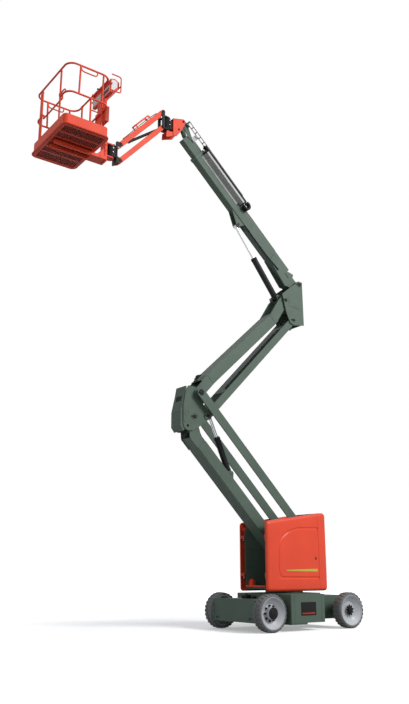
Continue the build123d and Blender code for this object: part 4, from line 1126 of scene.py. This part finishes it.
def grab_loops(bm):
    """Hand loops under the top rail at both ends, and the latch loop on the mid rail."""
    loop = [(4.40, 8.985), (4.405, 8.925), (4.44, 8.893), (4.54, 8.890),
            (4.66, 8.893), (4.695, 8.925), (4.70, 8.985)]
    for side in SIDES:
        add_hose(bm, [(x, side * 0.640, z) for x, z in loop], RAIL_RADIUS, steps=6, sides=10)
    latch = [(0.36, 8.465), (0.375, 8.500), (0.42, 8.525), (0.50, 8.525), (0.545, 8.500), (0.56, 8.465)]
    add_hose(bm, [(4.920, y, z) for y, z in latch], RAIL_RADIUS, steps=6, sides=10)


def post_plates(bm):
    """Flat stiffener beside one front post, and the sleeves at the rails' joints."""
    add_box(bm, (4.906, 4.922), (-0.462, -0.400), (7.900, 8.965), bevel=0.003)
    sleeve = [(0, 0.016), (0.002, 0.0195), (0.014, 0.0195), (0.016, 0.016)]
    for x, y in ((4.914, -0.385), (4.914, 0.340), (4.162, -0.385), (4.162, 0.385)):
        for z in (8.952, 8.040):
            add_turned(bm, (x, y, z), UP, sleeve, 20)


def console_panels(bm):
    """Blank pale panels on the front and on both cheeks of the control box."""
    for ys in ((-0.020, 0.255), (0.300, 0.580)):
        add_box(bm, (CONSOLE_FACE - 0.004, CONSOLE_FACE), ys, (8.765, 8.905), bevel=0.0015)
    cheek = [(4.000, 8.880), (4.000, 8.975), (4.055, 9.002), (4.112, 8.990), (4.112, 8.790), (4.075, 8.790)]
    for ys in ((0.5995, 0.6030), (-0.0430, -0.0395)):
        add_plate(bm, cheek, ys)


def console_greys(bm):
    """Dark blank fields on the lower box and on one front panel."""
    add_box(bm, (4.0700, 4.1300), (0.4695, 0.4730), (8.285, 8.535), bevel=0.0012)
    add_box(bm, (CONSOLE_FACE - 0.0005, CONSOLE_FACE + 0.0015), (0.330, 0.550), (8.790, 8.860))


def console_controls(bm):
    """Two joysticks and a row of switches on the sloping panel."""
    boot = [(0, 0.024), (0.006, 0.022), (0.014, 0.010), (0.050, 0.009)]
    grip = [(0, 0.010), (0.006, 0.016), (0.026, 0.018), (0.036, 0.010), (0.038, 0)]
    switch = [(0, 0.008), (0.004, 0.007), (0.005, 0.003), (0.018, 0.0035), (0.019, 0)]
    for y in (0.10, 0.46):
        add_turned(bm, (0, y, 0), UP, boot, 20, CONSOLE_TOP)
        add_turned(bm, (0, y, 0.048), UP, grip, 20, CONSOLE_TOP)
    for k in range(6):
        add_turned(bm, (-0.010, 0.18 + 0.040 * k, 0), UP, switch, 12, CONSOLE_TOP)


def stop_button(bm):
    button = [(0, 0.012), (0.010, 0.012), (0.011, 0.020), (0.020, 0.019), (0.024, 0.010), (0.0245, 0)]
    add_turned(bm, (0.004, 0.02, 0), UP, button, 24, CONSOLE_TOP)


piece("support_trim", support_trim, "platform", "red_paint")
# the floor mesh is red paint; its darker red_dark is painted shade of the underside seen from below
piece("floor_mesh", floor_mesh, "platform", "red_dark")
piece("grab_loops", grab_loops, "platform", "red_paint")
piece("post_plates", post_plates, "platform", "red_paint")
piece("console_panels", console_panels, "platform", "panel_white")
piece("console_greys", console_greys, "platform", "red_dark")
piece("console_controls", console_controls, "platform", "black_plastic")
piece("stop_button", stop_button, "platform", "red_paint")
